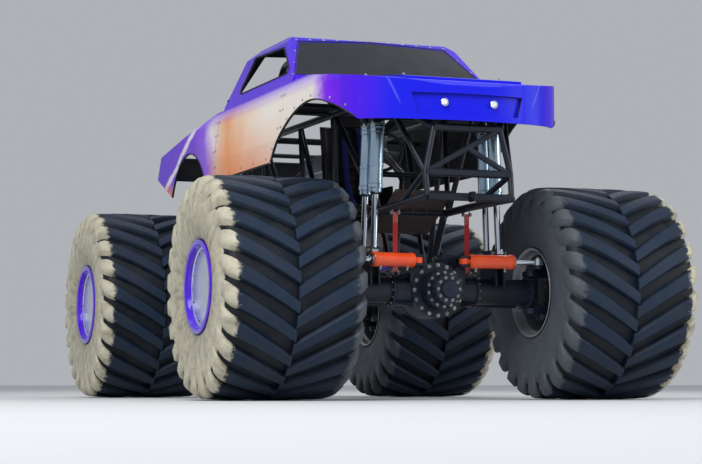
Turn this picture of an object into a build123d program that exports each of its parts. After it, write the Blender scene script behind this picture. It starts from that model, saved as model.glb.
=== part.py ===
# A monster truck: four flotation tyres on steered planetary axles, a welded tube frame carried
# on pairs of gas shocks and link bars, a blown V8 behind the centre seat and a moulded pickup
# body. Millimetres; +Z up, the truck faces -Y and its left side is +X. The origin is on the
# ground, below the centre of the overall box.
from build123d import *
import math
import os

# Wheels and stance
WHEELBASE = 3600
TRACK = 2720
TYRE_DIAMETER = 1676
TYRE_WIDTH = 1092
REAR_OVERHANG = 1150

TYRE_R = TYRE_DIAMETER / 2
AXLE_Z = TYRE_R
LENGTH = TYRE_R + WHEELBASE + REAR_OVERHANG
FRONT_Y = TYRE_R - LENGTH / 2
REAR_Y = FRONT_Y + WHEELBASE
WHEEL_X = TRACK / 2

# Clearances: running fits, faces that rest on one another, and plates that swivel
PIN_CLEAR = 0.05
SEAT_GAP = 0.3
SWIVEL_GAP = 5

# Tyre: two rows of slanted lugs, staggered by half a pitch
LUGS = 24
LUG_HEIGHT = 50
LUG_TIP_R = 640
CAVITY_SIDES = 8

# Rim and planetary hub
RIM_OUTER = 525
RIM_INNER = 450
RIM_FLANGE_R = 350
RIM_FLANGE = 16
BARREL_R = 318
BARREL_WALL = 12
COVER_RECESS = 50
COVER_THICK = 14
HUB_R = 215
HUB_WALL = 28
HUB_BACK = -60

# Axle: housing, yoke, knuckle
HOUSING_R = 100
YOKE_END = 880
KINGPIN_X = 950
KINGPIN_R = 30
KINGPIN_BOSS = 60
YOKE_Z = 145
YOKE_PLATE = 40
EAR_PLATE = 28
KNUCKLE_X = 1058
KNUCKLE_WALL = 54
KNUCKLE_BREADTH = 250
SPINDLE_R = 60
SPINDLE_END = -24
BANJO_R = 215
DOME_REACH = 345
NOSE_REACH = 165
NOSE_Z = 60
EAR_Z = YOKE_Z + YOKE_PLATE / 2 + SWIVEL_GAP + EAR_PLATE / 2

# Steering: cylinders ahead of the axle, tie rod behind it, in the axle's own frame
CYLINDER_BASE = (190, -190)
CYLINDER_PIN = (780, -270)
CYLINDER_R = 53
CYLINDER_END = 400
CYLINDER_ROD_R = 20
ROD_INNER_END = 170
EYE_R = 37
EYE_HEIGHT = 44
BASE_PIN_R = 15
CYLINDER_Z = EAR_Z + EAR_PLATE / 2 + 1 + EYE_HEIGHT / 2
TIE_ROD_Y = 215
TIE_ROD_Z = -95
TIE_ROD_R = 20
TIE_PIN_R = 13

# Shocks, in the axle's own frame for the foot
SHOCK_FOOT = (520, 110, 292)
SHOCK_TOP = (480, 95, 2235)
SHOCK_R = 57
SHOCK_ROD_R = 24
SHOCK_BODY_FROM = 0.40
SHOCK_EYE_R = 34
SHOCK_EYE_WIDE = 52
SHOCK_PIN_R = 14
BRACKET = 14

# Frame tubes
TUBE = 60
BRACE = 44
BEND = 160

# Body
SKIN = 12
PANEL_GAP = 6
COWL_Y = -1156
CAB_REAR_Y = 620
ROCKER_Z = 1890


def rod(a, b, diameter):
    """A round bar from point a to point b."""
    start = Vector(*a)
    run = Vector(*b) - start
    place = Plane(origin=start, z_dir=run)
    return place * Cylinder(diameter / 2, run.length, align=(Align.CENTER, Align.CENTER, Align.MIN))


def block(x, y, z):
    """A box from its low and high limits along each axis."""
    centre = ((x[0] + x[1]) / 2, (y[0] + y[1]) / 2, (z[0] + z[1]) / 2)
    return Pos(*centre) * Box(x[1] - x[0], y[1] - y[0], z[1] - z[0])


def fuse(pieces):
    """One solid from overlapping pieces."""
    whole = pieces[0]
    for piece in pieces[1:]:
        whole = whole + piece
    return whole


def both_sides(pieces):
    """Pieces of the left side with their mirror images."""
    return list(pieces) + [mirror(piece, Plane.YZ) for piece in pieces]


def bent_tube(points, diameter, bend):
    """A tube bent at its corners."""
    path = FilletPolyline(*points, radius=bend)
    profile = Plane(origin=path @ 0, z_dir=path % 0) * Circle(diameter / 2)
    return sweep(profile, path=path)


def write(node, pieces):
    """One STEP file for a node."""
    solids = []
    for piece in pieces:
        solids += piece.solids()
    shape = Compound(solids) if len(solids) > 1 else solids[0]
    export_step(shape, f"parts/{node}.step")


def turned(points):
    """A solid turned about the X axis from (distance along it, radius) points."""
    return revolve(make_face(Polyline(*points, close=True)), Axis.X)


# Tyre, about its own centre with its axle along X and its outside towards +X

def polyhedron(loops):
    """A solid from its flat faces, each a loop of corner points."""
    faces = []
    for loop in loops:
        faces.append(Face(Wire.make_polygon([Vector(*corner) for corner in loop], close=True)))
    return Solid(Shell(faces))


def around(x, angle, radius):
    """The point at this distance along the axle, angle from the top and radius."""
    turn = math.radians(angle)
    return (x, radius * math.sin(turn), radius * math.cos(turn))


def strip(a, b):
    """Triangles between two closed rows with the same number of points."""
    triangles = []
    count = len(a)
    for k in range(count):
        n = (k + 1) % count
        if a[k] != a[n]:
            triangles.append([a[k], a[n], b[n]])
        if b[k] != b[n]:
            triangles.append([a[k], b[n], b[k]])
    return triangles


# A lug at its inner end, at the shoulder and at its tip on the sidewall
LUG_STATIONS = [
    {"x": 14, "turn": 0, "low": TYRE_R - LUG_HEIGHT, "high": TYRE_R, "foot": 103, "top": 84},
    {"x": 490, "turn": 20, "low": TYRE_R - 62, "high": TYRE_R - 12, "foot": 158, "top": 122},
    {"x": TYRE_WIDTH / 2, "turn": 27, "low": LUG_TIP_R, "high": LUG_TIP_R, "foot": 118, "top": 118},
]


def lug_row(hand):
    """Four points a lug, all round, for each station of one side's lugs."""
    pitch = 360 / LUGS
    start = math.degrees(LUG_STATIONS[0]["top"] / 2 / TYRE_R)
    if hand < 0:
        start += pitch / 2
    rows = []
    for station in LUG_STATIONS:
        x = hand * station["x"]
        foot = math.degrees(station["foot"] / 2 / station["low"])
        crest = math.degrees(station["top"] / 2 / station["high"])
        row = []
        for k in range(LUGS):
            middle = start + k * pitch + station["turn"]
            row.append(around(x, middle - foot, station["low"]))
            row.append(around(x, middle - crest, station["high"]))
            row.append(around(x, middle + crest, station["high"]))
            row.append(around(x, middle + foot, station["low"]))
        rows.append(row)
    return rows


def tyre():
    loops = []
    feet = []
    for hand, bead in ((1, RIM_OUTER - RIM_FLANGE - 4), (-1, RIM_INNER - RIM_FLANGE - 4)):
        inner, shoulder, tip = lug_row(hand)
        loops += strip(inner, shoulder)
        loops += strip(shoulder, tip)
        for k in range(0, len(inner), 4):
            loops.append(inner[k:k + 4])
        feet.append([corner for k, corner in enumerate(inner) if k % 4 in (0, 3)])
        edge = []
        for k in range(0, len(tip), 4):
            share = (RIM_FLANGE_R + 8) / LUG_TIP_R / 2
            across = (tip[k][1] + tip[k + 3][1]) * share
            upward = (tip[k][2] + tip[k + 3][2]) * share
            edge.append((hand * bead, across, upward))
        for k, corner in enumerate(edge):
            following = edge[(k + 1) % len(edge)]
            start = tip[(4 * k + 4) % len(tip)]
            loops.append([tip[4 * k], tip[4 * k + 3], corner])
            loops.append([tip[4 * k + 3], start, corner])
            loops.append([start, following, corner])
        loops.append(edge)
    # the groove along the middle, where the two rows' feet alternate
    left, right = feet
    count = len(left)
    for k in range(0, count, 2):
        n = (k + 2) % count
        loops.append([left[k], left[k + 1], right[k - 1]])
        loops.append([left[k + 1], right[k], right[k - 1]])
        loops.append([left[k + 1], left[n], right[k]])
        loops.append([left[n], right[k + 1], right[k]])
    outer = polyhedron(loops)
    # distance from the middle, radius
    cavity = [
        (-RIM_INNER + 60, BARREL_R + 30),
        (-TYRE_WIDTH / 2 + 76, 570),
        (-TYRE_WIDTH / 2 + 150, 690),
        (TYRE_WIDTH / 2 - 150, 690),
        (TYRE_WIDTH / 2 - 76, 570),
        (RIM_OUTER - 70, BARREL_R + 30),
    ]
    rows = []
    for x, r in cavity:
        rows.append([around(x, k * 360 / CAVITY_SIDES, r) for k in range(CAVITY_SIDES)])
    loops = [rows[0], rows[-1]]
    for a, b in zip(rows, rows[1:]):
        loops += strip(a, b)
    bore = Rot(0, 90, 0) * Cylinder(BARREL_R + SEAT_GAP, 2 * TYRE_WIDTH)
    return outer - polyhedron(loops) - bore


# Rim with its planetary hub, the outside towards +X

def rim():
    inner_r = BARREL_R - BARREL_WALL
    cover = RIM_OUTER - COVER_RECESS
    barrel = turned([
        (-RIM_INNER, inner_r),
        (RIM_OUTER, inner_r),
        (RIM_OUTER, RIM_FLANGE_R),
        (RIM_OUTER - RIM_FLANGE, RIM_FLANGE_R),
        (RIM_OUTER - RIM_FLANGE, BARREL_R),
        (-RIM_INNER + RIM_FLANGE, BARREL_R),
        (-RIM_INNER + RIM_FLANGE, RIM_FLANGE_R),
        (-RIM_INNER, RIM_FLANGE_R),
    ])
    hub_and_disc = turned([
        (HUB_BACK, SPINDLE_R + PIN_CLEAR),
        (HUB_BACK, HUB_R - 20),
        (HUB_BACK + 20, HUB_R),
        (cover - COVER_THICK, HUB_R),
        (cover - COVER_THICK, inner_r + BARREL_WALL / 2),
        (cover, inner_r + BARREL_WALL / 2),
        (cover, 0),
        (cover - COVER_THICK, 0),
        (cover - COVER_THICK, HUB_R - HUB_WALL),
        (HUB_BACK + 60, HUB_R - HUB_WALL),
        (HUB_BACK + 60, SPINDLE_R + PIN_CLEAR),
    ])
    return barrel + hub_and_disc


# Knuckle of the left front wheel

def plan_bar(a, b, radius_a, radius_b, thick, z):
    """A flat tapered bar with round ends between two plan points, centred at height z."""
    run = Vector(b[0] - a[0], b[1] - a[1])
    outline = make_hull(Circle(radius_a).edges() + (Pos(run.length, 0) * Circle(radius_b)).edges())
    turn = math.degrees(math.atan2(run.Y, run.X))
    return Pos(a[0], a[1], z - thick / 2) * Rot(0, 0, turn) * extrude(outline, thick)


def knuckle():
    inner = KNUCKLE_X - KNUCKLE_WALL / 2
    outer = KNUCKLE_X + KNUCKLE_WALL / 2
    top = EAR_Z + EAR_PLATE / 2
    pieces = [block((inner, outer), (-KNUCKLE_BREADTH / 2, KNUCKLE_BREADTH / 2), (-top, top))]
    pin_long = EAR_PLATE + SWIVEL_GAP + YOKE_PLATE + 4
    for side in (1, -1):
        pieces.append(plan_bar((KINGPIN_X, 0), (KNUCKLE_X, 0), KINGPIN_BOSS, 85, EAR_PLATE, side * EAR_Z))
        pin_z = top - pin_long / 2
        pieces.append(Pos(KINGPIN_X, 0, side * pin_z) * Cylinder(KINGPIN_R, pin_long))
    hub_face = WHEEL_X + HUB_BACK
    pieces.append(rod((KNUCKLE_X, 0, 0), (WHEEL_X + SPINDLE_END, 0, 0), 2 * SPINDLE_R))
    pieces.append(rod((KNUCKLE_X, 0, 0), (hub_face - SWIVEL_GAP, 0, 0), 2 * SPINDLE_R + 90))
    pieces.append(plan_bar((KINGPIN_X, 0), CYLINDER_PIN, 46, 34, EAR_PLATE, EAR_Z))
    arm_z = TIE_ROD_Z - EYE_HEIGHT / 2 - 1 - EAR_PLATE / 2
    pin_top = TIE_ROD_Z + EYE_HEIGHT / 2 + 4
    pieces.append(plan_bar((inner + 14, 90), (KINGPIN_X, TIE_ROD_Y), 44, 30, EAR_PLATE, arm_z))
    pieces.append(rod((KINGPIN_X, TIE_ROD_Y, arm_z), (KINGPIN_X, TIE_ROD_Y, pin_top), 2 * TIE_PIN_R))
    return fuse(pieces)


# Steering cylinder of the left front wheel: barrel and rod along the line from base to pin

def cylinder_line():
    base = Vector(*CYLINDER_BASE, CYLINDER_Z)
    pin = Vector(*CYLINDER_PIN, CYLINDER_Z)
    return base, pin, (pin - base).normalized()


def steering_barrel():
    base, _, along = cylinder_line()
    far = base + along * CYLINDER_END
    body = rod(base + along * (EYE_R + 8), far, 2 * CYLINDER_R)
    neck = rod(base, base + along * (EYE_R + 20), 1.1 * EYE_HEIGHT - 6)
    gland = rod(far - along * 40, far + along * 12, 2 * CYLINDER_R - 24)
    eye = Pos(*base) * Cylinder(EYE_R, EYE_HEIGHT)
    bore = rod(base + along * (ROD_INNER_END - 110), far + along * 40, 2 * (CYLINDER_ROD_R + PIN_CLEAR))
    pin_hole = Pos(*base) * Cylinder(BASE_PIN_R + PIN_CLEAR, 2 * EYE_HEIGHT)
    return body + neck + gland + eye - bore - pin_hole


def steering_rod():
    base, pin, along = cylinder_line()
    bar = rod(base + along * ROD_INNER_END, pin, 2 * CYLINDER_ROD_R)
    eye = Pos(*pin) * Cylinder(EYE_R, EYE_HEIGHT)
    bolt = Pos(pin.X, pin.Y, pin.Z + EYE_HEIGHT / 2 + 7) * Cylinder(20, 14)
    return bar + eye + bolt


def tie_rod():
    ends = []
    for x in (-KINGPIN_X, KINGPIN_X):
        ends.append(Pos(x, TIE_ROD_Y, TIE_ROD_Z) * Cylinder(EYE_R - 3, EYE_HEIGHT))
    bar = rod((-KINGPIN_X, TIE_ROD_Y, TIE_ROD_Z), (KINGPIN_X, TIE_ROD_Y, TIE_ROD_Z), 2 * TIE_ROD_R)
    holes = []
    for x in (-KINGPIN_X, KINGPIN_X):
        holes.append(Pos(x, TIE_ROD_Y, TIE_ROD_Z) * Cylinder(TIE_PIN_R + PIN_CLEAR, 2 * EYE_HEIGHT))
    return bar + ends[0] + ends[1] - holes[0] - holes[1]


# Axle housing of the front axle, with its yokes and brackets

def axle_housing():
    centre = [
        rod((0, -130, 0), (0, 130, 0), 2 * BANJO_R),
        rod((0, -DOME_REACH + 90, 0), (0, -100, 0), 300),
        rod((0, -DOME_REACH, 0), (0, -200, 0), 220),
        rod((0, 100, NOSE_Z), (0, NOSE_REACH, NOSE_Z), 170),
        rod((-YOKE_END + 20, 0, 0), (YOKE_END - 20, 0, 0), 2 * HOUSING_R),
        rod((-330, 0, 0), (330, 0, 0), 2 * HOUSING_R + 40),
    ]
    side = []
    reach = YOKE_Z + YOKE_PLATE / 2
    side.append(block((YOKE_END - 45, YOKE_END), (-70, 70), (-reach, reach)))
    for end in (1, -1):
        yoke = plan_bar((YOKE_END - 30, 0), (KINGPIN_X, 0), 70, KINGPIN_BOSS, YOKE_PLATE, end * YOKE_Z)
        side.append(yoke)
    base_x, base_y = CYLINDER_BASE
    low = CYLINDER_Z - EYE_HEIGHT / 2 - 2
    high = CYLINDER_Z + EYE_HEIGHT / 2 + 2
    side.append(block((base_x - 38, base_x + 38), (base_y - 34, -72), (low - 18, low)))
    side.append(block((base_x - 38, base_x + 38), (base_y - 34, -72), (high, high + 18)))
    side.append(block((base_x - 38, base_x + 38), (-125, -72), (40, high + 18)))
    side.append(rod((base_x, base_y, low - 18), (base_x, base_y, high + 18), 2 * BASE_PIN_R))
    foot_x, foot_y, foot_z = SHOCK_FOOT
    for edge in (-1, 1):
        near = foot_x + edge * (SHOCK_EYE_WIDE / 2 + SEAT_GAP)
        far = near + edge * BRACKET
        side.append(block((min(near, far), max(near, far)), (-foot_y - 32, foot_y + 32), (40, foot_z + 30)))
    for end in (1, -1):
        pin_reach = SHOCK_EYE_WIDE / 2 + BRACKET + 8
        a = (foot_x - pin_reach, end * foot_y, foot_z)
        b = (foot_x + pin_reach, end * foot_y, foot_z)
        side.append(rod(a, b, 2 * SHOCK_PIN_R))
    for link in LINKS:
        x, y, z = link["axle"]
        near = x - LINK_EYE / 2 - BRACKET
        far = x + LINK_EYE / 2 + BRACKET
        ear = block((near, far), (0, y + 34), (min(z - 34, 0), z + 34))
        room = LINK_EYE / 2 + SEAT_GAP
        slot = block((x - room, x + room), (y - 42, y + 60), (z - 60, z + 60))
        side.append(ear - slot)
        side.append(rod((near - 6, y, z), (far + 6, y, z), 2 * LINK_PIN_R))
    body = fuse(centre)
    for piece in both_sides(side):
        body = body + piece
    for x in (-KINGPIN_X, KINGPIN_X):
        body = body - Pos(x, 0, 0) * Cylinder(KINGPIN_R + PIN_CLEAR, 2 * reach + 40)
    return body


# Link bars from the axle to the frame, in the axle's own frame

LINK_R = 30
LINK_EYE = 80
LINK_EYE_R = 38
LINK_PIN_R = 14
LINKS = [
    {"axle": (140, 110, 250), "frame": (318, 971, 130)},
    {"axle": (440, 150, 0), "frame": (400, 971, 20)},
]


def link_bars():
    bars = []
    for link in LINKS:
        bar = rod(link["axle"], link["frame"], 2 * LINK_R)
        for end in (link["axle"], link["frame"]):
            a = (end[0] - LINK_EYE / 2, end[1], end[2])
            b = (end[0] + LINK_EYE / 2, end[1], end[2])
            bar = bar + rod(a, b, 2 * LINK_EYE_R)
        for end in (link["axle"], link["frame"]):
            a = (end[0] - LINK_EYE, end[1], end[2])
            b = (end[0] + LINK_EYE, end[1], end[2])
            bar = bar - rod(a, b, 2 * (LINK_PIN_R + SEAT_GAP))
        bars.append(bar)
    return bars


# Shocks of the front left corner

def shock_ends(end):
    x, y, z = SHOCK_FOOT
    foot = Vector(x, end * y, z)
    top = Vector(SHOCK_TOP[0], end * SHOCK_TOP[1], SHOCK_TOP[2] - AXLE_Z)
    return foot, top


def shock_eye(at):
    half = SHOCK_EYE_WIDE / 2
    return rod((at.X - half, at.Y, at.Z), (at.X + half, at.Y, at.Z), 2 * SHOCK_EYE_R)


def shock_pin_hole(at):
    return rod((at.X - 60, at.Y, at.Z), (at.X + 60, at.Y, at.Z), 2 * (SHOCK_PIN_R + SEAT_GAP))


def shock_body(end):
    foot, top = shock_ends(end)
    start = foot + (top - foot) * SHOCK_BODY_FROM
    stop = foot + (top - foot) * 0.955
    along = (top - foot).normalized()
    body = rod(start, stop, 2 * SHOCK_R) + rod(stop, top, 40) + shock_eye(top)
    bore = rod(start - along * 10, start + along * 220, 2 * (SHOCK_ROD_R + SEAT_GAP))
    return body - bore - shock_pin_hole(top)


def shock_rod(end):
    foot, top = shock_ends(end)
    along = (top - foot).normalized()
    stop = foot + (top - foot) * SHOCK_BODY_FROM + along * 180
    return rod(foot, stop, 2 * SHOCK_ROD_R) + shock_eye(foot) - shock_pin_hole(foot)


# Placing pieces made for the front axle, or for its left side

def at_axle(piece, end):
    """Puts a piece of the front axle's frame on the front or the rear axle."""
    if end == "rear":
        return Pos(0, REAR_Y, AXLE_Z) * mirror(piece, Plane.XZ)
    return Pos(0, FRONT_Y, AXLE_Z) * piece


def at_wheel(piece, end, side):
    """Puts a wheel made for the front left corner on any corner, rolling the same way."""
    if side == "right":
        piece = mirror(piece, Plane.YZ)
    return Pos(0, FRONT_Y if end == "front" else REAR_Y, AXLE_Z) * piece


def at_corner(piece, end, side):
    """Puts a piece of the left front corner on any corner."""
    if side == "right":
        piece = mirror(piece, Plane.YZ)
    return at_axle(piece, end)


# Frame tubes, left side or centre; x, y, z of the corners

LOWER_RAIL = [
    (340, -2690, 1500),
    (300, -2026, 1490),
    (300, -1520, 1480),
    (400, -960, 960),
    (400, 648, 960),
    (300, 1208, 1480),
    (300, 2330, 1520),
]
UPPER_RAIL = [
    (270, -2640, 2020),
    (480, -2180, 2300),
    (480, 1860, 2300),
    (300, 2500, 2040),
]
CAGE_HOOP = [
    (480, -1100, 2300),
    (470, -600, 2860),
    (450, 250, 2900),
    (480, 720, 2300),
]
# one end, other end, diameter: tubes with a mirror image
SIDE_BRACES = [
    ((345, -2660, 1680), (270, -2640, 2020), BRACE),
    ((340, -2690, 1500), (345, -2660, 1680), BRACE),
    ((345, -2660, 1680), (310, -2080, 1490), BRACE),
    ((345, -2660, 1680), (480, -2230, 2270), BRACE),
    ((300, -1600, 1480), (480, -1700, 2300), BRACE),
    ((300, -1600, 1480), (480, -1100, 2300), BRACE),
    ((400, -930, 960), (480, -1100, 2300), BRACE),
    ((400, -900, 960), (480, -260, 2300), BRACE),
    ((400, -200, 960), (480, -260, 2300), BRACE),
    ((400, -200, 960), (480, 720, 2300), BRACE),
    ((400, 600, 960), (480, 720, 2300), BRACE),
    ((300, 1260, 1480), (480, 720, 2300), BRACE),
    ((300, 1260, 1480), (480, 1330, 2300), BRACE),
    ((300, 2330, 1520), (300, 2460, 2040), BRACE),
    ((300, 2000, 1510), (480, 1900, 2280), BRACE),
]
# half length, y, z, diameter: tubes across the truck
CROSSBARS = [
    (340, -2690, 1500, TUBE),
    (345, -2660, 1680, TUBE),
    (270, -2640, 2020, TUBE),
    (480, -2180, 2300, BRACE),
    (300, -1560, 1480, TUBE),
    (480, -1700, 2300, BRACE),
    (480, -1100, 2300, TUBE),
    (400, -900, 960, TUBE),
    (400, -200, 960, TUBE),
    (400, 588, 960, TUBE),
    (480, 720, 2300, TUBE),
    (300, 1260, 1495, TUBE),
    (300, 1640, 1495, TUBE),
    (480, 1860, 2300, BRACE),
    (300, 2330, 1520, TUBE),
    (300, 2490, 2040, TUBE),
    (470, -600, 2860, TUBE),
    (450, 250, 2900, TUBE),
]
# half length, y, z, diameter: tubes across the truck that land on the side braces
SEAT_BARS = [
    (368, -1411, 1790, BRACE),
    (431, -652, 1480, BRACE),
    (431, -223, 1480, BRACE),
]
# one end, other end: the crossed braces of the front and rear bulkheads
BULKHEAD = [
    ((-345, -2660, 1680), (270, -2640, 2020)),
    ((345, -2660, 1680), (-270, -2640, 2020)),
    ((-300, 2330, 1520), (300, 2490, 2040)),
    ((300, 2330, 1520), (-300, 2490, 2040)),
]


def cope(piece, others):
    """Cuts a tube back where it meets others, leaving the seat gap."""
    for other in others:
        if piece.bounding_box().size.length == 0:
            continue
        piece = piece - other
    solids = sorted(piece.solids(), key=lambda one: one.volume)
    return solids[-1]


def near(a, b):
    """Whether two shapes' boxes meet."""
    p = a.bounding_box()
    q = b.bounding_box()
    gaps = (
        p.min.X - q.max.X, q.min.X - p.max.X,
        p.min.Y - q.max.Y, q.min.Y - p.max.Y,
        p.min.Z - q.max.Z, q.min.Z - p.max.Z,
    )
    return max(gaps) < 1


def frame():
    """Rails, cage, crossbars and braces; each is cut back where it meets the ones before it."""
    grown = 2 * SEAT_GAP
    rails = []
    cutters = []
    for points in (LOWER_RAIL, UPPER_RAIL):
        rails += both_sides([bent_tube(points, TUBE, BEND)])
        cutters += both_sides([bent_tube(points, TUBE + grown, BEND)])
    cage = []
    fresh = []
    for piece in both_sides([bent_tube(CAGE_HOOP, TUBE, BEND)]):
        cage.append(cope(piece, [c for c in cutters if near(piece, c)]))
    fresh += both_sides([bent_tube(CAGE_HOOP, TUBE + grown, BEND)])
    cutters += fresh
    bars = []
    fresh = []
    for half, y, z, size in CROSSBARS:
        bar = rod((-half, y, z), (half, y, z), size)
        bars.append(cope(bar, [c for c in cutters if near(bar, c)]))
        fresh.append(rod((-half, y, z), (half, y, z), size + grown))
    cutters += fresh
    braces = []
    for a, b, size in SIDE_BRACES:
        one = rod(a, b, size)
        one = cope(one, [c for c in cutters if near(one, c)])
        braces += both_sides([one])
        cutters += both_sides([rod(a, b, size + grown)])
    for a, b in BULKHEAD:
        one = rod(a, b, BRACE)
        one = cope(one, [c for c in cutters if near(one, c)])
        braces.append(one)
        cutters.append(rod(a, b, BRACE + grown))
    for half, y, z, size in SEAT_BARS:
        bar = rod((-half, y, z), (half, y, z), size)
        bars.append(cope(bar, [c for c in cutters if near(bar, c)]))
        cutters.append(rod((-half, y, z), (half, y, z), size + grown))
    tabs = []
    for tab in frame_tabs():
        tabs.append(cope(tab, [c for c in cutters if near(tab, c)]))
    return rails, cage, bars, braces, tabs


def frame_tabs():
    """Plates on the frame that hold the link bars, the shock tops and the body."""
    tabs = []
    for end in ("front", "rear"):
        for link in LINKS:
            x, y, z = link["frame"]
            hole = rod((x - 90, y, z), (x + 90, y, z), 2 * LINK_PIN_R)
            for edge in (-1, 1):
                near_x = x + edge * (LINK_EYE / 2 + SEAT_GAP)
                far_x = near_x + edge * BRACKET
                thick = (min(near_x, far_x), max(near_x, far_x))
                plate = block(thick, (y - 34, y + 120), (z - 34, z + 70))
                if z > 60:
                    plate = block(thick, (y - 34, y + 85), (z - 40, z + 34))
                tabs += [at_corner(plate - hole, end, side) for side in ("left", "right")]
            reach = LINK_EYE / 2 + BRACKET
            pin = rod((x - reach, y, z), (x + reach, y, z), 2 * LINK_PIN_R - 1)
            tabs += [at_corner(pin, end, side) for side in ("left", "right")]
        for fore in (-1, 1):
            _, top = shock_ends(fore)
            for edge in (-1, 1):
                near_x = top.X + edge * (SHOCK_EYE_WIDE / 2 + SEAT_GAP)
                far_x = near_x + edge * BRACKET
                low_x, high_x = min(near_x, far_x), max(near_x, far_x)
                plate = block((low_x, high_x), (top.Y - 34, top.Y + 34), (top.Z - 34, top.Z + 75))
                plate = plate - rod((top.X - 90, top.Y, top.Z), (top.X + 90, top.Y, top.Z), 2 * SHOCK_PIN_R)
                tabs += [at_corner(plate, end, side) for side in ("left", "right")]
            pin_half = SHOCK_EYE_WIDE / 2 + BRACKET
            pin = rod((top.X - pin_half, top.Y, top.Z), (top.X + pin_half, top.Y, top.Z), 2 * SHOCK_PIN_R - 1)
            tabs += [at_corner(pin, end, side) for side in ("left", "right")]
    for y, z in BODY_MOUNTS:
        tabs += both_sides([rod((470, y, z), (980, y, z), 36)])
    return tabs


# y, z: the arms that carry the body
BODY_MOUNTS = [
    (-1420, 2300),
    (-1060, 2300),
    (560, 2300),
    (1780, 2300),
]


# Body: a lower form and a cab top, hollow, cut into panels

TAIL_Y = LENGTH / 2
NOSE_Y = -2706


def side_prism(points, half, radius=0):
    """A side outline of (y, z) points run across the truck, its corners rounded."""
    face = make_face(Polyline(*[(0, y, z) for y, z in points], close=True))
    if radius:
        face = fillet(face.vertices(), radius)
    return extrude(face, half, dir=(1, 0, 0), both=True)


def front_prism(points, low, high, radius=0):
    """A front outline of left-hand (x, z) points, mirrored, run along the truck."""
    outline = [(x, low, z) for x, z in points]
    outline += [(-x, low, z) for x, z in reversed(points) if x > 0]
    face = make_face(Polyline(*outline, close=True))
    if radius:
        face = fillet([corner for corner in face.vertices() if abs(corner.X) > 1], radius)
    return extrude(face, high - low, dir=(0, 1, 0))


def plan_prism(points, low, high):
    """A plan outline of left-hand (x, y) points, mirrored, run upwards."""
    outline = [(x, y, low) for x, y in points]
    outline += [(-x, y, low) for x, y in reversed(points) if x > 0]
    return extrude(make_face(Polyline(*outline, close=True)), high - low, dir=(0, 0, 1))


def plan_form(t):
    """The body's plan, drawn in by t: a bowed nose, rounded corners and nearly straight sides."""
    nose = (0, NOSE_Y + t)
    brow = (450 - t / 2, -2656 + t)
    cheek = (700 - t * 0.7, -2556 + t * 0.7)
    corner = (850 - t, -2390 + t / 2)
    fender = (940 - t, -2150)
    door = (985 - t, -1300)
    side = (985 - t, 300)
    tail = (900 - t, TAIL_Y - t)
    half = [
        ThreePointArc(corner, cheek, brow),
        ThreePointArc(brow, nose, (-brow[0], brow[1])),
    ]
    edges = half + [mirror(half[0], Plane.YZ)]
    outline = [corner, fender, door, side, tail]
    edges += [Line(a, b) for a, b in zip(outline, outline[1:])]
    edges += [mirror(Line(a, b), Plane.YZ) for a, b in zip(outline, outline[1:])]
    edges.append(Line(tail, (-tail[0], tail[1])))
    return Pos(0, 0, 1600) * extrude(make_face(edges), 1200)


def side_form(t, lift):
    """The body's side outline up to its belt, drawn in by t; lift raises the hood alone."""
    roof = [
        (NOSE_Y + t, 2325 - t),
        (-2650 + t / 2, 2368 - t + lift),
        (-2500, 2398 - t + lift),
        (-1156, 2590 - t + lift),
        (500, 2610 - t),
        (1444, 2440 - t),
        (2650 - t, 2325 - t),
        (TAIL_Y - t, 2120),
    ]
    points = [(NOSE_Y + t, 1600), *roof, (TAIL_Y - t, 1600)]
    return side_prism(points, 1100, 16)


def lower_form(t, lift=0):
    """The body up to its belt, drawn in by t."""
    front = front_prism([
        (1014 - t, 1600),
        (1000 - t, 1960),
        (934 - t, 2440 - t),
        (860 - t, 2545 - t),
        (480 - t, 2640 - t + lift),
    ], -2900, 2900, 40)
    return plan_form(t) & side_form(t, lift) & front


def cab_form(t):
    """The cab top over the belt, drawn in by t."""
    side = side_prism([
        (-1250 + t, 2500),
        (-640 + t / 2, 2996 - t),
        (-200, 3060 - t),
        (264 - t / 2, 3080 - t),
        (760 - t, 2500),
    ], 1100, 50)
    front = front_prism([
        (890 - t, 2450),
        (752 - t, 2940 - t),
        (640 - t, 3030 - t),
        (260, 3082 - t),
    ], -1400, 900, 30)
    return side & front


FRONT_ARCH = {"y": -1816, "z": 1175, "r": 1111}
REAR_ARCH = {"y": 1560, "z": 1500, "r": 735}
RECESS = {"top": 450, "foot": 405, "low": 2112, "high": 2268, "deep": 26}
HOOD = {"front": 470, "rear": 330, "lift": 20}
LAMP = {"out": 200, "high": 2200, "width": 50}


def lamp(side, grow):
    """A round lamp through the recess, or with grow the hole that it sits in."""
    start = (side * LAMP["out"], -2692 - 40 * grow, LAMP["high"])
    return rod(start, (side * LAMP["out"], -2650 + 20 * grow, LAMP["high"]), LAMP["width"] + 2 * grow)


def recess(grow):
    """The shallow recess in the nose, or with grow the room that its walls need."""
    outline = front_prism([
        (RECESS["foot"] + grow, RECESS["low"] - grow),
        (RECESS["top"] + grow, RECESS["high"] + grow),
    ], -2900, -2400)
    return outline - lower_form(RECESS["deep"] + grow)


def hood(t):
    """The raised middle of the hood, drawn in by t."""
    plan = plan_prism([
        (HOOD["front"] - t, NOSE_Y + 110 + t),
        (HOOD["rear"] - t, COWL_Y - 20),
    ], 2000, 2700)
    return plan & lower_form(t, HOOD["lift"])


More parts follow.
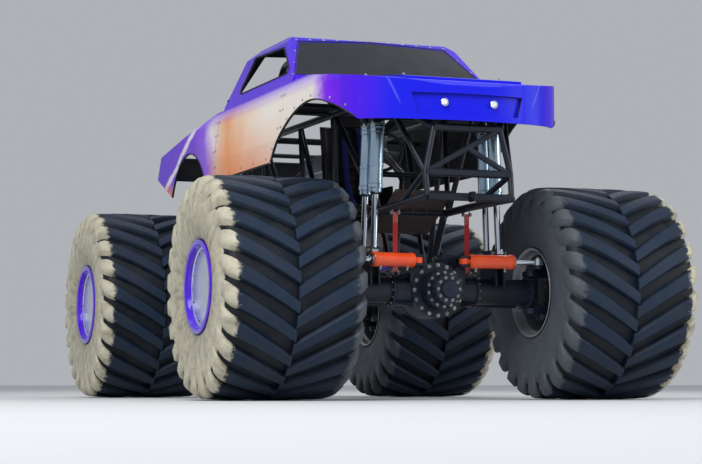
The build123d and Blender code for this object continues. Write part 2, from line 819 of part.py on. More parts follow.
def body_shell():
    outer = lower_form(0) + cab_form(0) + hood(0) - recess(0)
    inner = lower_form(SKIN) + cab_form(SKIN) + hood(SKIN) - recess(SKIN)
    shell = outer - inner - block((-1200, 1200), (-3000, 3000), (1500, ROCKER_Z))
    for arch in (FRONT_ARCH, REAR_ARCH):
        shell = shell - Pos(0, arch["y"], arch["z"]) * Rot(0, 90, 0) * Cylinder(arch["r"], 2400)
    # under the nose and under the tail
    shell = shell - side_prism([(-2900, 1500), (-2900, 2060), (-2400, 2080), (-2300, 1500)], 1200)
    shell = shell - side_prism([(2184, 1890), (2184, 1500), (2900, 1500), (2900, 2160)], 1200)
    shell = shell - plan_prism([(770, CAB_REAR_Y + 120), (770, 2620)], 2150, 2800)
    window = side_prism([(-1010, 2640), (-660, 2890), (120, 2925), (330, 2640)], 1200, 25)
    for side in (1, -1):
        shell = shell - (window & Pos(side * 850, 0, 2800) * Box(700, 3000, 800))
        shell = shell - lamp(side, SEAT_GAP)
    return shell


def windshield_opening(grow):
    return front_prism([
        (820 + grow, 2610 - grow),
        (650 + grow, 2940 + grow),
        (0, 2975 + grow),
    ], -1400, -450)


def rear_opening():
    return front_prism([(760, 2640), (600, 2980), (0, 3000)], 200, 900)


def body_panels():
    shell = body_shell() - windshield_opening(0) - rear_opening()
    half = PANEL_GAP / 2
    front = shell & block((-1200, 1200), (-2900, COWL_Y - half), (1600, 3200))
    cab = shell & block((-1200, 1200), (COWL_Y + half, CAB_REAR_Y - half), (1600, 3200))
    bed = shell & block((-1200, 1200), (CAB_REAR_Y + half, 2900), (1600, 3200))
    return front, cab, bed


def windshield():
    outer = cab_form(0)
    inner = cab_form(8)
    sheet = (outer - inner) & windshield_opening(-1) & block((-1200, 1200), (COWL_Y + 4, -500), (2500, 3100))
    return sheet


# Cab fittings, engine and running gear

def belly_plate():
    return block((-365, 365), (-855, 540), (922, 929.5))


def floor_panels():
    """Two sloping floor sheets ahead of the driver's feet."""
    panels = []
    bar_y, bar_z = -1560, 1480
    bar = rod((-300, bar_y, bar_z), (300, bar_y, bar_z), TUBE + 2 * SEAT_GAP)
    for along in (-168, 168):
        rise = math.radians(-28)
        y = bar_y + along * math.cos(rise)
        z = bar_z + along * math.sin(rise)
        panels.append(Pos(0, y, z) * Rot(-28, 0, 0) * Box(500, 300, 5) - bar)
    return panels


def seat():
    """A moulded bucket seat: cushion, back and side wings."""
    cushion = block((-260, 260), (-700, -180), (1502.4, 1600))
    back = Pos(0, -200, 1960) * Rot(-10, 0, 0) * Box(500, 90, 760)
    head = Pos(0, -130, 2400) * Rot(-10, 0, 0) * Box(300, 90, 180)
    wings = both_sides([block((230, 262), (-560, -160), (1560, 1800))])
    return fuse([cushion, back, head, *wings])


def steering_wheel():
    rim_ring = Torus(160, 15)
    spoke = Box(300, 26, 10)
    cross = Box(26, 300, 10)
    hub_disc = Cylinder(40, 30)
    column = Pos(0, 0, -255) * Cylinder(22, 510)
    wheel = rim_ring + spoke + cross + hub_disc + column
    half, y, z, size = SEAT_BARS[0]
    return Pos(0, -960, 2020) * Rot(-62, 0, 0) * wheel - rod((-half, y, z), (half, y, z), size + 2 * SEAT_GAP)


ENGINE_Y = (30, 640)
ENGINE_Z = 1155


def engine_block():
    """Block, sump, heads, front pulley and engine mounts."""
    y0, y1 = ENGINE_Y
    z = ENGINE_Z
    core = block((-180, 180), (y0, y1), (z + 140, z + 380))
    sump = block((-150, 150), (y0 + 30, y1 - 40), (z, z + 160))
    heads = []
    for side in (1, -1):
        head = Pos(side * 205, (y0 + y1) / 2, z + 400) * Rot(0, side * 45, 0) * Box(150, y1 - y0 - 20, 190)
        heads.append(head)
    ears = both_sides([block((140, 425), (300, 350), (z + 60, z + 110))])
    legs = both_sides([block((375, 425), (300, 350), (990.4, z + 80))])
    pulley = rod((0, y1 - 5, z + 190), (0, y1 + 60, z + 190), 220)
    return fuse([core, sump, *heads, *ears, *legs, pulley])


def blower():
    """Supercharger, its drive and the injector hat."""
    y0, y1 = ENGINE_Y
    z = ENGINE_Z
    manifold = block((-110, 110), (y0 + 40, y1 - 60), (z + 370, z + 520))
    case = block((-170, 170), (y0 + 30, y1 - 60), (z + 520, z + 750))
    drive = rod((0, y1 - 100, z + 640), (0, y1 + 50, z + 640), 190)
    hat = block((-150, 150), (y0 + 80, y1 - 100), (z + 750, z + 820))
    scoop = block((-170, 170), (y0 + 40, y1 - 60), (z + 810, z + 950))
    return fuse([manifold, case, drive, hat, scoop])


def headers():
    pipes = []
    z = ENGINE_Z
    for index in range(4):
        y = ENGINE_Y[0] + 90 + index * 140
        points = [(240, y, z + 345), (345, y, z + 270), (345, y - 40, z + 60), (290, y - 260, z - 60)]
        pipes.append(bent_tube(points, 54, 30))
    return both_sides(pipes)


SHAFT_Z = 1120


def transmission():
    """Gearbox and the transfer case below it, on the frame's middle crossbar."""
    gearbox = rod((0, -560, 1305), (0, 29, 1305), 280)
    case = block((-150, 150), (-500, 25), (990.4, 1250))
    return fuse([gearbox, case])


def driveshafts():
    shafts = []
    for nose_y, case_y in ((FRONT_Y + NOSE_REACH, -500), (REAR_Y - NOSE_REACH, 25)):
        run = 1 if case_y > nose_y else -1
        shaft = rod((0, nose_y - run * 40, AXLE_Z + NOSE_Z - 6), (0, case_y + run * 40, SHAFT_Z), 70)
        low = min(nose_y, case_y) + SEAT_GAP
        high = max(nose_y, case_y) - SEAT_GAP
        shafts.append(shaft & block((-100, 100), (low, high), (700, 1400)))
    return shafts


def fuel_cell():
    return block((-240, 240), (1235, 1665), (1525.4, 1820))


def limit_straps():
    straps = []
    for y in (FRONT_Y, REAR_Y):
        straps += both_sides([block((280, 320), (y - 3, y + 3), (AXLE_Z + HOUSING_R + 20.4, 1458))])
    return straps


TOW_EYE_R = 20
TOW_PLATE = 20


def tow_eyes():
    eyes = []
    for y, z, out in ((-2690, 1500, -1), (2330, 1520, 1)):
        centre_y = y + out * 62
        plate = block((-TOW_PLATE / 2, TOW_PLATE / 2), (min(y, centre_y), max(y, centre_y)), (z - 38, z + 38))
        plate = plate + rod((-TOW_PLATE / 2, centre_y, z), (TOW_PLATE / 2, centre_y, z), 76)
        plate = plate - rod((-60, y, z), (60, y, z), TUBE + 2 * SEAT_GAP)
        eyes.append(plate - rod((-60, centre_y, z), (60, centre_y, z), 2 * TOW_EYE_R))
    return eyes


def front_lamps():
    return [lamp(side, 0) for side in (1, -1)]


def build():
    os.makedirs("parts", exist_ok=True)

    left_tyre = Pos(WHEEL_X, 0, 0) * tyre()
    left_rim = Pos(WHEEL_X, 0, 0) * rim()
    left_knuckle = knuckle()
    left_barrel = steering_barrel()
    left_steering_rod = steering_rod()
    for end in ("front", "rear"):
        for side in ("left", "right"):
            write(f"tyre_{end}_{side}", [at_wheel(left_tyre, end, side)])
            write(f"rim_{end}_{side}", [at_wheel(left_rim, end, side)])
            write(f"knuckle_{end}_{side}", [at_corner(left_knuckle, end, side)])
            write(f"steering_barrel_{end}_{side}", [at_corner(left_barrel, end, side)])
            write(f"steering_rod_{end}_{side}", [at_corner(left_steering_rod, end, side)])
        write(f"tie_rod_{end}", [at_axle(tie_rod(), end)])

    housing = axle_housing()
    write("axle_housings", [at_axle(housing, "front"), at_axle(housing, "rear")])
    bodies = []
    rods = []
    bars = []
    for end in ("front", "rear"):
        for side in ("left", "right"):
            bodies += [at_corner(shock_body(fore), end, side) for fore in (-1, 1)]
            rods += [at_corner(shock_rod(fore), end, side) for fore in (-1, 1)]
            bars += [at_corner(bar, end, side) for bar in link_bars()]
    write("shock_bodies", bodies)
    write("shock_rods", rods)
    write("link_bars", bars)

    front, cab, bed = body_panels()
    rails, cage, crossbars, braces, tabs = frame()
    tabs = [cope(tab, [panel for panel in (front, cab, bed) if near(tab, panel)]) for tab in tabs]
    write("frame_rails", rails)
    write("roll_cage", cage)
    write("frame_crossbars", crossbars)
    write("frame_braces", braces)
    write("frame_tabs", tabs)
    write("belly_plate", [belly_plate()])
    write("floor_panels", floor_panels())
    write("tow_eyes", tow_eyes())
    write("limit_straps", limit_straps())
    engine = engine_block()
    write("engine_block", [engine])
    write("blower", [blower() - engine])
    write("headers", [cope(pipe, [engine]) for pipe in headers()])
    write("transmission", [transmission()])
    write("driveshafts", driveshafts())
    write("fuel_cell", [fuel_cell()])
    write("seat", [seat()])
    write("steering_wheel", [steering_wheel()])

    for side in (1, -1):
        front = front - rod((side * 200, -2800, 2200), (side * 200, -2500, 2200), 51)
    write("front_lamps", front_lamps())
    write("body_front", [front])
    write("body_cab", [cab])
    write("body_bed", [bed])
    write("windshield", [windshield()])


build()
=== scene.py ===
import math

import bmesh
import bpy
from mathutils import Matrix, Vector


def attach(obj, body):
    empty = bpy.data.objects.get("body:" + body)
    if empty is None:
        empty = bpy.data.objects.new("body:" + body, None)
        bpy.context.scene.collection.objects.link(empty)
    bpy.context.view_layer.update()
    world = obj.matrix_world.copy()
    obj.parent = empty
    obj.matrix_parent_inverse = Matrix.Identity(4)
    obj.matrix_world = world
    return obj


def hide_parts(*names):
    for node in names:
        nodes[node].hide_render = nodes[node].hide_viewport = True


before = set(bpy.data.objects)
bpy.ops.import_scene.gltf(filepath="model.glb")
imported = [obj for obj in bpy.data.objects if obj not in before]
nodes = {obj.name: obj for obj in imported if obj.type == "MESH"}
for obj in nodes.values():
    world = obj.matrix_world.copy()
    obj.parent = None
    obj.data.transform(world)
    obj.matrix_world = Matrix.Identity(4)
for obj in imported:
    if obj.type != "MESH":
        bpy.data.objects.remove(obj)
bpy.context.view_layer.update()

# Wheel centres and axle lines, in metres, as the frame has them
FRONT_AXLE = -1.956
REAR_AXLE = 1.644
AXLE_HIGH = 0.838
WHEEL_OUT = 1.360
HANDS = (1, -1)
AXLES = [("front",), ("rear",)]
CORNERS = [(end, side) for end in ("front", "rear") for side in ("left", "right")]


# Materials

def srgb(code):
    """An sRGB hex colour as linear RGBA."""
    values = []
    for k in (0, 2, 4):
        c = int(code[k:k + 2], 16) / 255
        values.append(c / 12.92 if c <= 0.04045 else ((c + 0.055) / 1.055) ** 2.4)
    return (*values, 1.0)


def feed(mat, socket, value):
    """Links an input to another socket, or sets it to a number or a hex colour."""
    if isinstance(value, bpy.types.NodeSocket):
        mat.node_tree.links.new(value, socket)
    else:
        socket.default_value = srgb(value) if isinstance(value, str) else value


def add(mat, kind, *inputs, out=None, stops=(), **settings):
    """Adds a node, with inputs in the order in which it shows them and settings by name. Gives its first
    output, or the one that out names."""
    node = mat.node_tree.nodes.new("ShaderNode" + kind)
    for name, value in settings.items():
        if name in node.inputs:
            feed(mat, node.inputs[name], value)
        else:
            setattr(node, name, value)
    if stops:
        ramp = node.color_ramp.elements
        while len(ramp) < len(stops):
            ramp.new(1.0)
        for stop, (at, colour) in zip(ramp, stops):
            stop.position = at
            stop.color = srgb(colour)
    for socket, value in zip([socket for socket in node.inputs if socket.enabled], inputs):
        feed(mat, socket, value)
    return node.outputs[out] if out else next(socket for socket in node.outputs if socket.enabled)


def paint_of(name):
    mat = bpy.data.materials.new(name)
    mat.use_nodes = True
    return mat


def surface(mat, inputs):
    """Feeds the material's shader by the names of its inputs."""
    for name, value in inputs.items():
        feed(mat, mat.node_tree.nodes["Principled BSDF"].inputs[name], value)
    return mat


def finish_of(name, base, other, grain_mm, rough, rough_vary=0.1, metallic=0.0, coat=0.0,
              bump=0.1, dust=0.25, dust_colour="8a7a66", ior=1.5):
    """A finish that varies between two colours over patches, with fine grain, grime and dust."""
    mat = paint_of(name)
    spot = add(mat, "TexCoord", out="Object")
    patch = add(mat, "TexNoise", spot, Scale=5.0, Detail=5.0, Roughness=0.6)
    grain = add(mat, "TexNoise", spot, Scale=1000.0 / grain_mm, Detail=3.0)
    film = add(mat, "TexNoise", spot, Scale=2.3, Detail=8.0, Roughness=0.72)
    tone = add(mat, "MapRange", patch, 0.38, 0.66)
    mix = add(mat, "Mix", tone, base, other, data_type="RGBA")
    share = add(mat, "MapRange", film, 0.46, 0.78, 0.0, dust)
    dusty = add(mat, "Mix", share, mix, dust_colour, data_type="RGBA")
    gloss = add(mat, "MapRange", film, 0.0, 1.0, rough - rough_vary, rough + rough_vary)
    relief = add(mat, "Bump", Strength=bump, Distance=0.001, Height=grain)
    surface(mat, {"Base Color": dusty, "Roughness": gloss, "Normal": relief, "Metallic": metallic,
                  "Coat Weight": coat})
    return mat if metallic else surface(mat, {"IOR": ior})


# Powder-coated steel tube: a hard satin black with a film of track dust; its faint blue tint is a painted
# reflection of the sky
FRAME_COAT = finish_of("black powder coat", "080d18", "101a2c", 1.2, 0.36, 0.08, coat=0.12, bump=0.06,
                       dust=0.06, dust_colour="5a6470", ior=1.42)
# Cast and painted axle housings: blacker, rougher and more soiled than the tubes; their navy tint is a painted
# reflection of the sky
AXLE_COAT = finish_of("black chassis enamel", "070c18", "0f1c32", 2.5, 0.42, 0.12, coat=0.10, bump=0.25,
                      dust=0.12, dust_colour="565c64", ior=1.42)
# Sprayed orange enamel of the cylinders and headers
ORANGE = finish_of("orange enamel", "f2551c", "e8481a", 0.8, 0.30, 0.08, coat=0.4, bump=0.04, dust=0.12)
# Sprayed purple enamel of the suspension links
PURPLE = finish_of("purple enamel", "5a1fc0", "4a18a6", 0.8, 0.30, 0.08, coat=0.4, bump=0.04, dust=0.12)
# Candy purple enamel of the wheel lip
LIP = finish_of("candy purple enamel", "5a1fe0", "4512c8", 0.8, 0.2, 0.06, coat=0.7, bump=0.02, dust=0.08)
# Silver-painted steel of the barrel's inside
BARREL = finish_of("silver-painted steel", "b9bcc2", "9a9da4", 1.5, 0.38, metallic=0.7)
# Zinc-plated fasteners
ZINC = finish_of("zinc-plated steel", "b4b6b4", "8e908f", 0.5, 0.3, 0.08, metallic=1.0, bump=0.05, dust=0.1)
# Ground and hard-chromed rods
CHROME = finish_of("hard chrome", "dfe6ee", "cfd8e2", 0.6, 0.12, 0.05, metallic=1.0, bump=0.02, dust=0.04)
# Polished and clear-anodised aluminium of the shock bodies, which mirrors the sky; its pale blue tint is a
# painted reflection of the sky
SHOCK_ALLOY = finish_of("polished anodised aluminium", "b9cfe0", "a5bfd4", 0.8, 0.20, 0.07, metallic=1.0,
                        bump=0.03, dust=0.06)
# Scuffed, painted skid plate
BELLY = finish_of("scuffed painted sheet", "17171b", "26262a", 3.0, 0.55, 0.12, bump=0.3, dust=0.35)
# Dusty brown-grey aluminium floor sheet
FLOOR_SHEET = finish_of("dusty aluminium sheet", "4a3b38", "5a4a44", 2.0, 0.55, metallic=0.4, bump=0.15,
                        dust=0.35)
# Block and heads: painted cast iron
CAST_IRON = finish_of("painted cast iron", "20242c", "2c3038", 2.0, 0.5, bump=0.5, dust=0.15)
# Blower and injector hat: polished aluminium casting
POLISHED = finish_of("polished cast aluminium", "d9dbe0", "c4c8d0", 1.5, 0.22, 0.08, metallic=1.0, bump=0.08,
                     dust=0.06)
# Gearbox: raw cast aluminium
CAST_ALLOY = finish_of("as-cast aluminium", "8f9298", "7a7d84", 2.0, 0.5, metallic=0.8, bump=0.5, dust=0.2)
# Turned steel propeller shafts
SHAFT_STEEL = finish_of("turned steel", "6a6d74", "585b62", 1.0, 0.32, 0.08, metallic=1.0, dust=0.15)
# Machined steel rod ends, bright but oiled
ROD_END = finish_of("oiled machined steel", "9a9c9f", "75777b", 0.8, 0.28, 0.08, metallic=1.0, bump=0.05,
                    dust=0.15)
# Rotationally moulded polyethylene fuel cell
FUEL_BLACK = finish_of("moulded polyethylene", "101114", "18191d", 1.5, 0.6, 0.08, bump=0.3, dust=0.2)
# Steering wheel and small trim
MATT_BLACK = finish_of("matt moulded plastic", "0d0e11", "15161a", 1.0, 0.65, 0.06, bump=0.3, dust=0.1)
# Moulded rubber boots and seals
BOOT = finish_of("moulded rubber", "121315", "1b1c1f", 1.0, 0.7, 0.08, bump=0.2)
# Bonded white sewing thread
THREAD = finish_of("white sewing thread", "d8d2c4", "b8b0a0", 0.5, 0.8, 0.05, bump=0.4, dust=0.3)
# Clear hard-coated lens over a bright reflector
LENS = finish_of("frosted lamp lens", "f2f6fb", "dfe7f0", 1.0, 0.12, 0.04, coat=1.0, bump=0.0, dust=0.02)


def body_paint():
    """Airbrushed gloss paint on moulded fibreglass: blue nose and hood, purple corners, cream sides that fade
    to orange, a purple tail with a white streak, and bare dark laminate inside."""
    mat = paint_of("gloss airbrushed fibreglass")
    spot = add(mat, "TexCoord", out="Object")
    x, y, z = [add(mat, "SeparateXYZ", spot, out=axis) for axis in "XYZ"]
    outward = add(mat, "Math", x, operation="ABSOLUTE")
    cloud = add(mat, "TexNoise", spot, Scale=2.2, Detail=4.0, Roughness=0.55)
    drift = add(mat, "Math", cloud, 0.5, -0.25, operation="MULTIPLY_ADD")

    # along the side, from the nose at -3.5 to the tail at 2.1
    slope = add(mat, "Math", z, -0.35, y, operation="MULTIPLY_ADD")
    along = add(mat, "Math", slope, drift, operation="ADD")
    reach = add(mat, "MapRange", along, -3.5, 2.1)
    side = add(mat, "ValToRGB", reach, stops=[
        (0.00, "1d22e6"), (0.045, "2a20e4"), (0.075, "6a1ce6"), (0.10, "8a2cf0"), (0.118, "c9a0f4"),
        (0.145, "f3eadf"), (0.34, "f7efe2"), (0.45, "f8dcc0"), (0.53, "f4a868"), (0.57, "f6c8a0"),
        (0.62, "efe4ee"), (0.66, "9456ee"), (0.72, "7418e8"), (1.0, "5a0cda")])

    # warmer towards the rocker, between the front arch and the bed
    low = add(mat, "MapRange", z, 2.30, 1.92, 0.0, 0.75)
    behind_arch = add(mat, "MapRange", y, -1.7, -0.5)
    before_bed = add(mat, "MapRange", y, 0.95, 0.60)
    warm = add(mat, "Math", low, behind_arch, operation="MULTIPLY")
    warmth = add(mat, "Math", warm, before_bed, operation="MULTIPLY")
    flank = add(mat, "Mix", warmth, side, "f0884a", data_type="RGBA")

    # a lilac mist under the belt line
    belt = add(mat, "MapRange", z, 2.38, 2.52, 0.0, 0.8)
    misty = add(mat, "Mix", belt, flank, "8450f0", data_type="RGBA")

    # a white streak that runs down the tail
    line = add(mat, "Math", y, 0.42, -3.02, operation="MULTIPLY_ADD")
    off = add(mat, "Math", z, line, operation="ADD")
    wave = add(mat, "Math", drift, 0.25, off, operation="MULTIPLY_ADD")
    away = add(mat, "Math", wave, operation="ABSOLUTE")
    streak = add(mat, "MapRange", away, 0.050, 0.018)
    tail = add(mat, "MapRange", y, 1.05, 1.45)
    shown = add(mat, "Math", streak, tail, operation="MULTIPLY")
    streaked = add(mat, "Mix", shown, misty, "f4eefc", data_type="RGBA")

    # orange along the lower front edge of the bed's rear corner
    heel = add(mat, "MapRange", z, 2.05, 1.93)
    rear = add(mat, "MapRange", y, 2.05, 2.25)
    spark = add(mat, "Math", heel, rear, operation="MULTIPLY")
    heeled = add(mat, "Mix", spark, streaked, "f08a48", data_type="RGBA")

    # hood, roof and nose, with the sides below the belt line
    lengthways = add(mat, "MapRange", y, -2.7, 2.7)
    top = add(mat, "ValToRGB", lengthways, stops=[
        (0.0, "1a20e2"), (0.22, "1c1cd6"), (0.36, "3018c8"), (0.55, "3a14b4"), (0.68, "6a1ce0"),
        (1.0, "6212da")])
    edge = add(mat, "MapRange", outward, 0.60, 0.86, 0.0, 0.85)
    crown = add(mat, "Mix", edge, top, "5a1ce4", data_type="RGBA")
    wide = add(mat, "MapRange", outward, 0.868, 0.885)
    under_belt = add(mat, "MapRange", z, 2.56, 2.53)
    on_flank = add(mat, "Math", wide, under_belt, operation="MULTIPLY")
    outer = add(mat, "Mix", on_flank, crown, heeled, data_type="RGBA")

    # painted highlights: two lighter lines on each side of the nose stand for light along its pressed creases
    nose = add(mat, "MapRange", y, -2.45, -2.55)
    ends = add(mat, "MapRange", z, 2.17, 2.24)
    in_nose = add(mat, "Math", nose, ends, operation="MULTIPLY")
    lean = add(mat, "Math", z, -0.45, outward, operation="MULTIPLY_ADD")
    for from_middle, strength in ((-0.449, 0.32), (-0.209, 0.22)):
        gap = add(mat, "Math", lean, from_middle, operation="SUBTRACT")
        size = add(mat, "Math", gap, operation="ABSOLUTE")
        thin = add(mat, "MapRange", size, 0.014, 0.002, 0.0, strength)
        crease_highlight = add(mat, "Math", thin, in_nose, operation="MULTIPLY")
        outer = add(mat, "Mix", crease_highlight, outer, "7a86fa", data_type="RGBA")

    # inner faces point back towards the middle of the truck, and show the bare laminate
    flat_normal = add(mat, "NewGeometry", out="True Normal")
    across, lengthwise, upward = [add(mat, "SeparateXYZ", flat_normal, out=axis) for axis in "XYZ"]
    inside = add(mat, "Math", upward, -0.3, operation="LESS_THAN")
    for place_on, normal, limit in ((x, across, -0.25), (y, lengthwise, -0.7)):
        hand = add(mat, "Math", place_on, operation="SIGN")
        inward = add(mat, "Math", hand, normal, operation="MULTIPLY")
        turned_in = add(mat, "Math", inward, limit, operation="LESS_THAN")
        inside = add(mat, "Math", inside, turned_in, operation="MAXIMUM")
    weave = add(mat, "TexNoise", spot, Scale=60.0, Detail=6.0)
    laminate = add(mat, "Mix", weave, "191a20", "2e2f36", data_type="RGBA")
    colour = add(mat, "Mix", inside, outer, laminate, data_type="RGBA")

    film = add(mat, "TexNoise", spot, Scale=1.7, Detail=8.0, Roughness=0.7)
    gloss = add(mat, "MapRange", film, 0.0, 1.0, 0.22, 0.40)
    rough = add(mat, "Math", inside, 0.5, gloss, operation="MULTIPLY_ADD")
    peel = add(mat, "TexNoise", spot, Scale=160.0, Detail=1.0)
    bump = add(mat, "Bump", Strength=0.03, Distance=0.001, Height=peel)
    return surface(mat, {"Base Color": colour, "Roughness": rough, "Normal": bump, "Specular IOR Level": 0.14,
                         "Coat Weight": 0.08, "Coat Roughness": 0.16})


def smoked_screen():
    """Smoked polycarbonate: dark, glossy, and a little clear."""
    mat = paint_of("smoked polycarbonate")
    smear = add(mat, "TexNoise", add(mat, "TexCoord", out="Object"), Scale=3.0, Detail=8.0, Roughness=0.7)
    tone = add(mat, "Mix", smear, "15171d", "262a34", data_type="RGBA")
    rough = add(mat, "MapRange", smear, 0.0, 1.0, 0.05, 0.25)
    return surface(mat, {"Base Color": tone, "Roughness": rough, "Alpha": 0.95, "Specular IOR Level": 0.25,
                         "IOR": 1.58})


def wheel_place(mat):
    """A point's place on its wheel, its distance out from the wheel's middle, and its Y, Z and radius."""
    spot = add(mat, "Attribute", attribute_name="wheel_place", out="Vector")
    x, y, z = [add(mat, "SeparateXYZ", spot, out=axis) for axis in "XYZ"]
    radius = add(mat, "VectorMath", add(mat, "CombineXYZ", y, z), operation="LENGTH")
    return spot, x, y, z, radius


def rubber():
    """Vulcanised rubber: matt blue-black, its blue a painted sky reflection, scuffed on the lugs, the lug
    crests lighter and the grooves darker as painted sky light and shade. Its outer wall is brushed with pale
    silver paint that ends in a ragged edge on the lugs and is drawn as lit by sun; the wall towards the truck
    is drawn dusty grey, in painted shade."""
    mat = paint_of("vulcanised rubber")
    spot, x, y, z, radius = wheel_place(mat)
    scuff = add(mat, "TexNoise", spot, Scale=7.0, Detail=9.0, Roughness=0.7)
    # painted light: the rubber's blue tint is a painted sky reflection, and the lug crests are drawn lighter
    # and the grooves darker as painted sky light and shade
    crest_sky_light = add(mat, "MapRange", radius, 0.785, 0.836)
    black = add(mat, "Mix", crest_sky_light, "08111c", "14283e", data_type="RGBA")
    worn = add(mat, "MapRange", scuff, 0.45, 0.75, 0.0, 0.45)
    grey = add(mat, "Mix", worn, black, "33373c", data_type="RGBA")

    # the pale coat, drawn as lit by sun, with grime thrown outwards in streaks, and painted shade that darkens
    # it round the rim
    sunlit_coat = add(mat, "Mix", scuff, "dcd6c0", "aca792", data_type="RGBA")
    turn = add(mat, "Math", y, z, operation="ARCTAN2")
    streaks = add(mat, "TexNoise", add(mat, "CombineXYZ", turn, radius), Scale=9.0, Detail=6.0, Roughness=0.6)
    thrown = add(mat, "MapRange", streaks, 0.46, 0.72, 0.0, 0.65)
    rim_shade = add(mat, "MapRange", radius, 0.62, 0.38, 0.0, 0.35)
    grime_and_rim_shade = add(mat, "Math", thrown, rim_shade, operation="ADD", use_clamp=True)
    pale = add(mat, "Mix", grime_and_rim_shade, sunlit_coat, "77725f", data_type="RGBA")

    # painted sun and shade: the wall towards the truck is drawn dusty grey, as in shade, and the outer wall
    # takes the pale coat, as lit by sun
    dusty = add(mat, "Mix", scuff, "5f666d", "3c4248", data_type="RGBA")
    outer = add(mat, "MapRange", x, -0.05, 0.05)
    lit_and_shaded_wall = add(mat, "Mix", outer, dusty, pale, data_type="RGBA")
    # where the coat lies on the walls and lug ends; its soft fade onto the lug crests is painted sunlight
    # falling off as the crests turn away
    coat = add(mat, "Attribute", attribute_name="sidewall_paint_and_sun", out="Fac")
    rag = add(mat, "TexNoise", spot, Scale=26.0, Detail=5.0, Roughness=0.65)
    edge = add(mat, "Math", coat, rag, operation="ADD")
    painted = add(mat, "MapRange", edge, 0.90, 1.12)
    colour = add(mat, "Mix", painted, grey, lit_and_shaded_wall, data_type="RGBA")
    rough = add(mat, "MapRange", scuff, 0.0, 1.0, 0.42, 0.68)

    # moulded rings round each wall, 75 mm apart, under the pores
    ring = add(mat, "Math", radius, 0.0375, operation="PINGPONG")
    ridge = add(mat, "MapRange", ring, 0.005, 0.002)
    wide = add(mat, "Math", x, operation="ABSOLUTE")
    on_wall = add(mat, "Math", wide, 0.515, operation="GREATER_THAN")
    below_lugs = add(mat, "Math", radius, 0.69, operation="LESS_THAN")
    flat = add(mat, "Math", on_wall, below_lugs, operation="MULTIPLY")
    rib = add(mat, "Math", ridge, flat, operation="MULTIPLY")
    moulded = add(mat, "Bump", Strength=0.6, Distance=0.003, Height=rib)
    pores = add(mat, "TexNoise", spot, Scale=420.0, Detail=4.0)
    height = add(mat, "Math", pores, scuff, operation="ADD")
    bump = add(mat, "Bump", Strength=0.35, Distance=0.002, Height=height, Normal=moulded)
    return surface(mat, {"Base Color": colour, "Roughness": rough, "Normal": bump, "IOR": 1.52,
                         "Specular IOR Level": 0.3})


def brushed_cover():
    """Brushed aluminium wheel cover: fine turned rings that draw the light into two fans."""
    mat = paint_of("brushed aluminium cover")
    spot, _, _, _, radius = wheel_place(mat)
    # rings 2 mm apart stand for the finer real brushing, which would not show
    rings = add(mat, "TexNoise", radius, noise_dimensions="1D", Scale=500.0, Detail=2.0)
    smear = add(mat, "TexNoise", spot, Scale=5.0, Detail=6.0, Roughness=0.7)
    tone = add(mat, "Mix", smear, "f2f7fc", "bccbdc", data_type="RGBA")
    rough = add(mat, "MapRange", smear, 0.0, 1.0, 0.2, 0.42)
    bump = add(mat, "Bump", Strength=0.12, Distance=0.001, Height=rings)
    return surface(mat, {"Base Color": tone, "Roughness": rough, "Normal": bump, "Metallic": 0.85,
                         "Anisotropic": 0.6})


def webbing(name, base, other):
    """Polyester webbing, woven in diagonal ribs 1.5 mm apart."""
    mat = paint_of(name)
    spot = add(mat, "TexCoord", out="Object")
    ribs = add(mat, "TexWave", spot, bands_direction="DIAGONAL", Scale=210.0, Distortion=1.5, Detail=2.0)
    soil = add(mat, "TexNoise", spot, Scale=9.0, Detail=8.0, Roughness=0.7)
    tone = add(mat, "Mix", soil, base, other, data_type="RGBA")
    bump = add(mat, "Bump", Strength=0.6, Distance=0.001, Height=ribs)
    return surface(mat, {"Base Color": tone, "Normal": bump, "Roughness": 0.85, "Sheen Weight": 0.3})


def vinyl():
    """Stitched vinyl: black with a fine grain."""
    mat = paint_of("stitched vinyl")
    spot = add(mat, "TexCoord", out="Object")
    cells = add(mat, "TexVoronoi", spot, Scale=420.0)
    wear = add(mat, "TexNoise", spot, Scale=6.0, Detail=8.0, Roughness=0.7)
    tone = add(mat, "Mix", wear, "16171b", "26282e", data_type="RGBA")
    rough = add(mat, "MapRange", wear, 0.0, 1.0, 0.38, 0.62)
    bump = add(mat, "Bump", Strength=0.25, Distance=0.001, Height=cells)
    return surface(mat, {"Base Color": tone, "Roughness": rough, "Normal": bump})


BODY_PAINT = body_paint()
SCREEN = smoked_screen()
RUBBER = rubber()
COVER = brushed_cover()
STRAP_RED = webbing("red polyester webbing", "c4161c", "8e1418")
BELT = webbing("blue polyester webbing", "2432a8", "1a2478")
VINYL = vinyl()


def dress(obj, mat):
    obj.data.materials.clear()
    obj.data.materials.append(mat)


for mat, names in (
        (AXLE_COAT, ("axle_housings", "tie_rod_front", "tie_rod_rear")), (PURPLE, ("link_bars",)),
        (FRAME_COAT, ("frame_rails", "roll_cage", "frame_crossbars", "frame_braces", "frame_tabs", "tow_eyes")),
        (BELLY, ("belly_plate",)), (FLOOR_SHEET, ("floor_panels",)), (ORANGE, ("limit_straps", "headers")),
        (CAST_IRON, ("engine_block",)), (POLISHED, ("blower",)), (CAST_ALLOY, ("transmission",)),
        (SHAFT_STEEL, ("driveshafts",)), (FUEL_BLACK, ("fuel_cell",)), (MATT_BLACK, ("seat", "steering_wheel")),
        (CHROME, ("front_lamps", "shock_rods")), (BODY_PAINT, ("body_front", "body_cab", "body_bed")),
        (SCREEN, ("windshield",)), (SHOCK_ALLOY, ("shock_bodies",))):
    for name in names:
        dress(nodes[name], mat)
for end, side in CORNERS:
    for kind, mat in (("tyre", MATT_BLACK), ("rim", PURPLE), ("knuckle", AXLE_COAT),
                      ("steering_barrel", ORANGE), ("steering_rod", CHROME)):
        dress(nodes[f"{kind}_{end}_{side}"], mat)


# Ways of modelling

MERGE = 0.00002


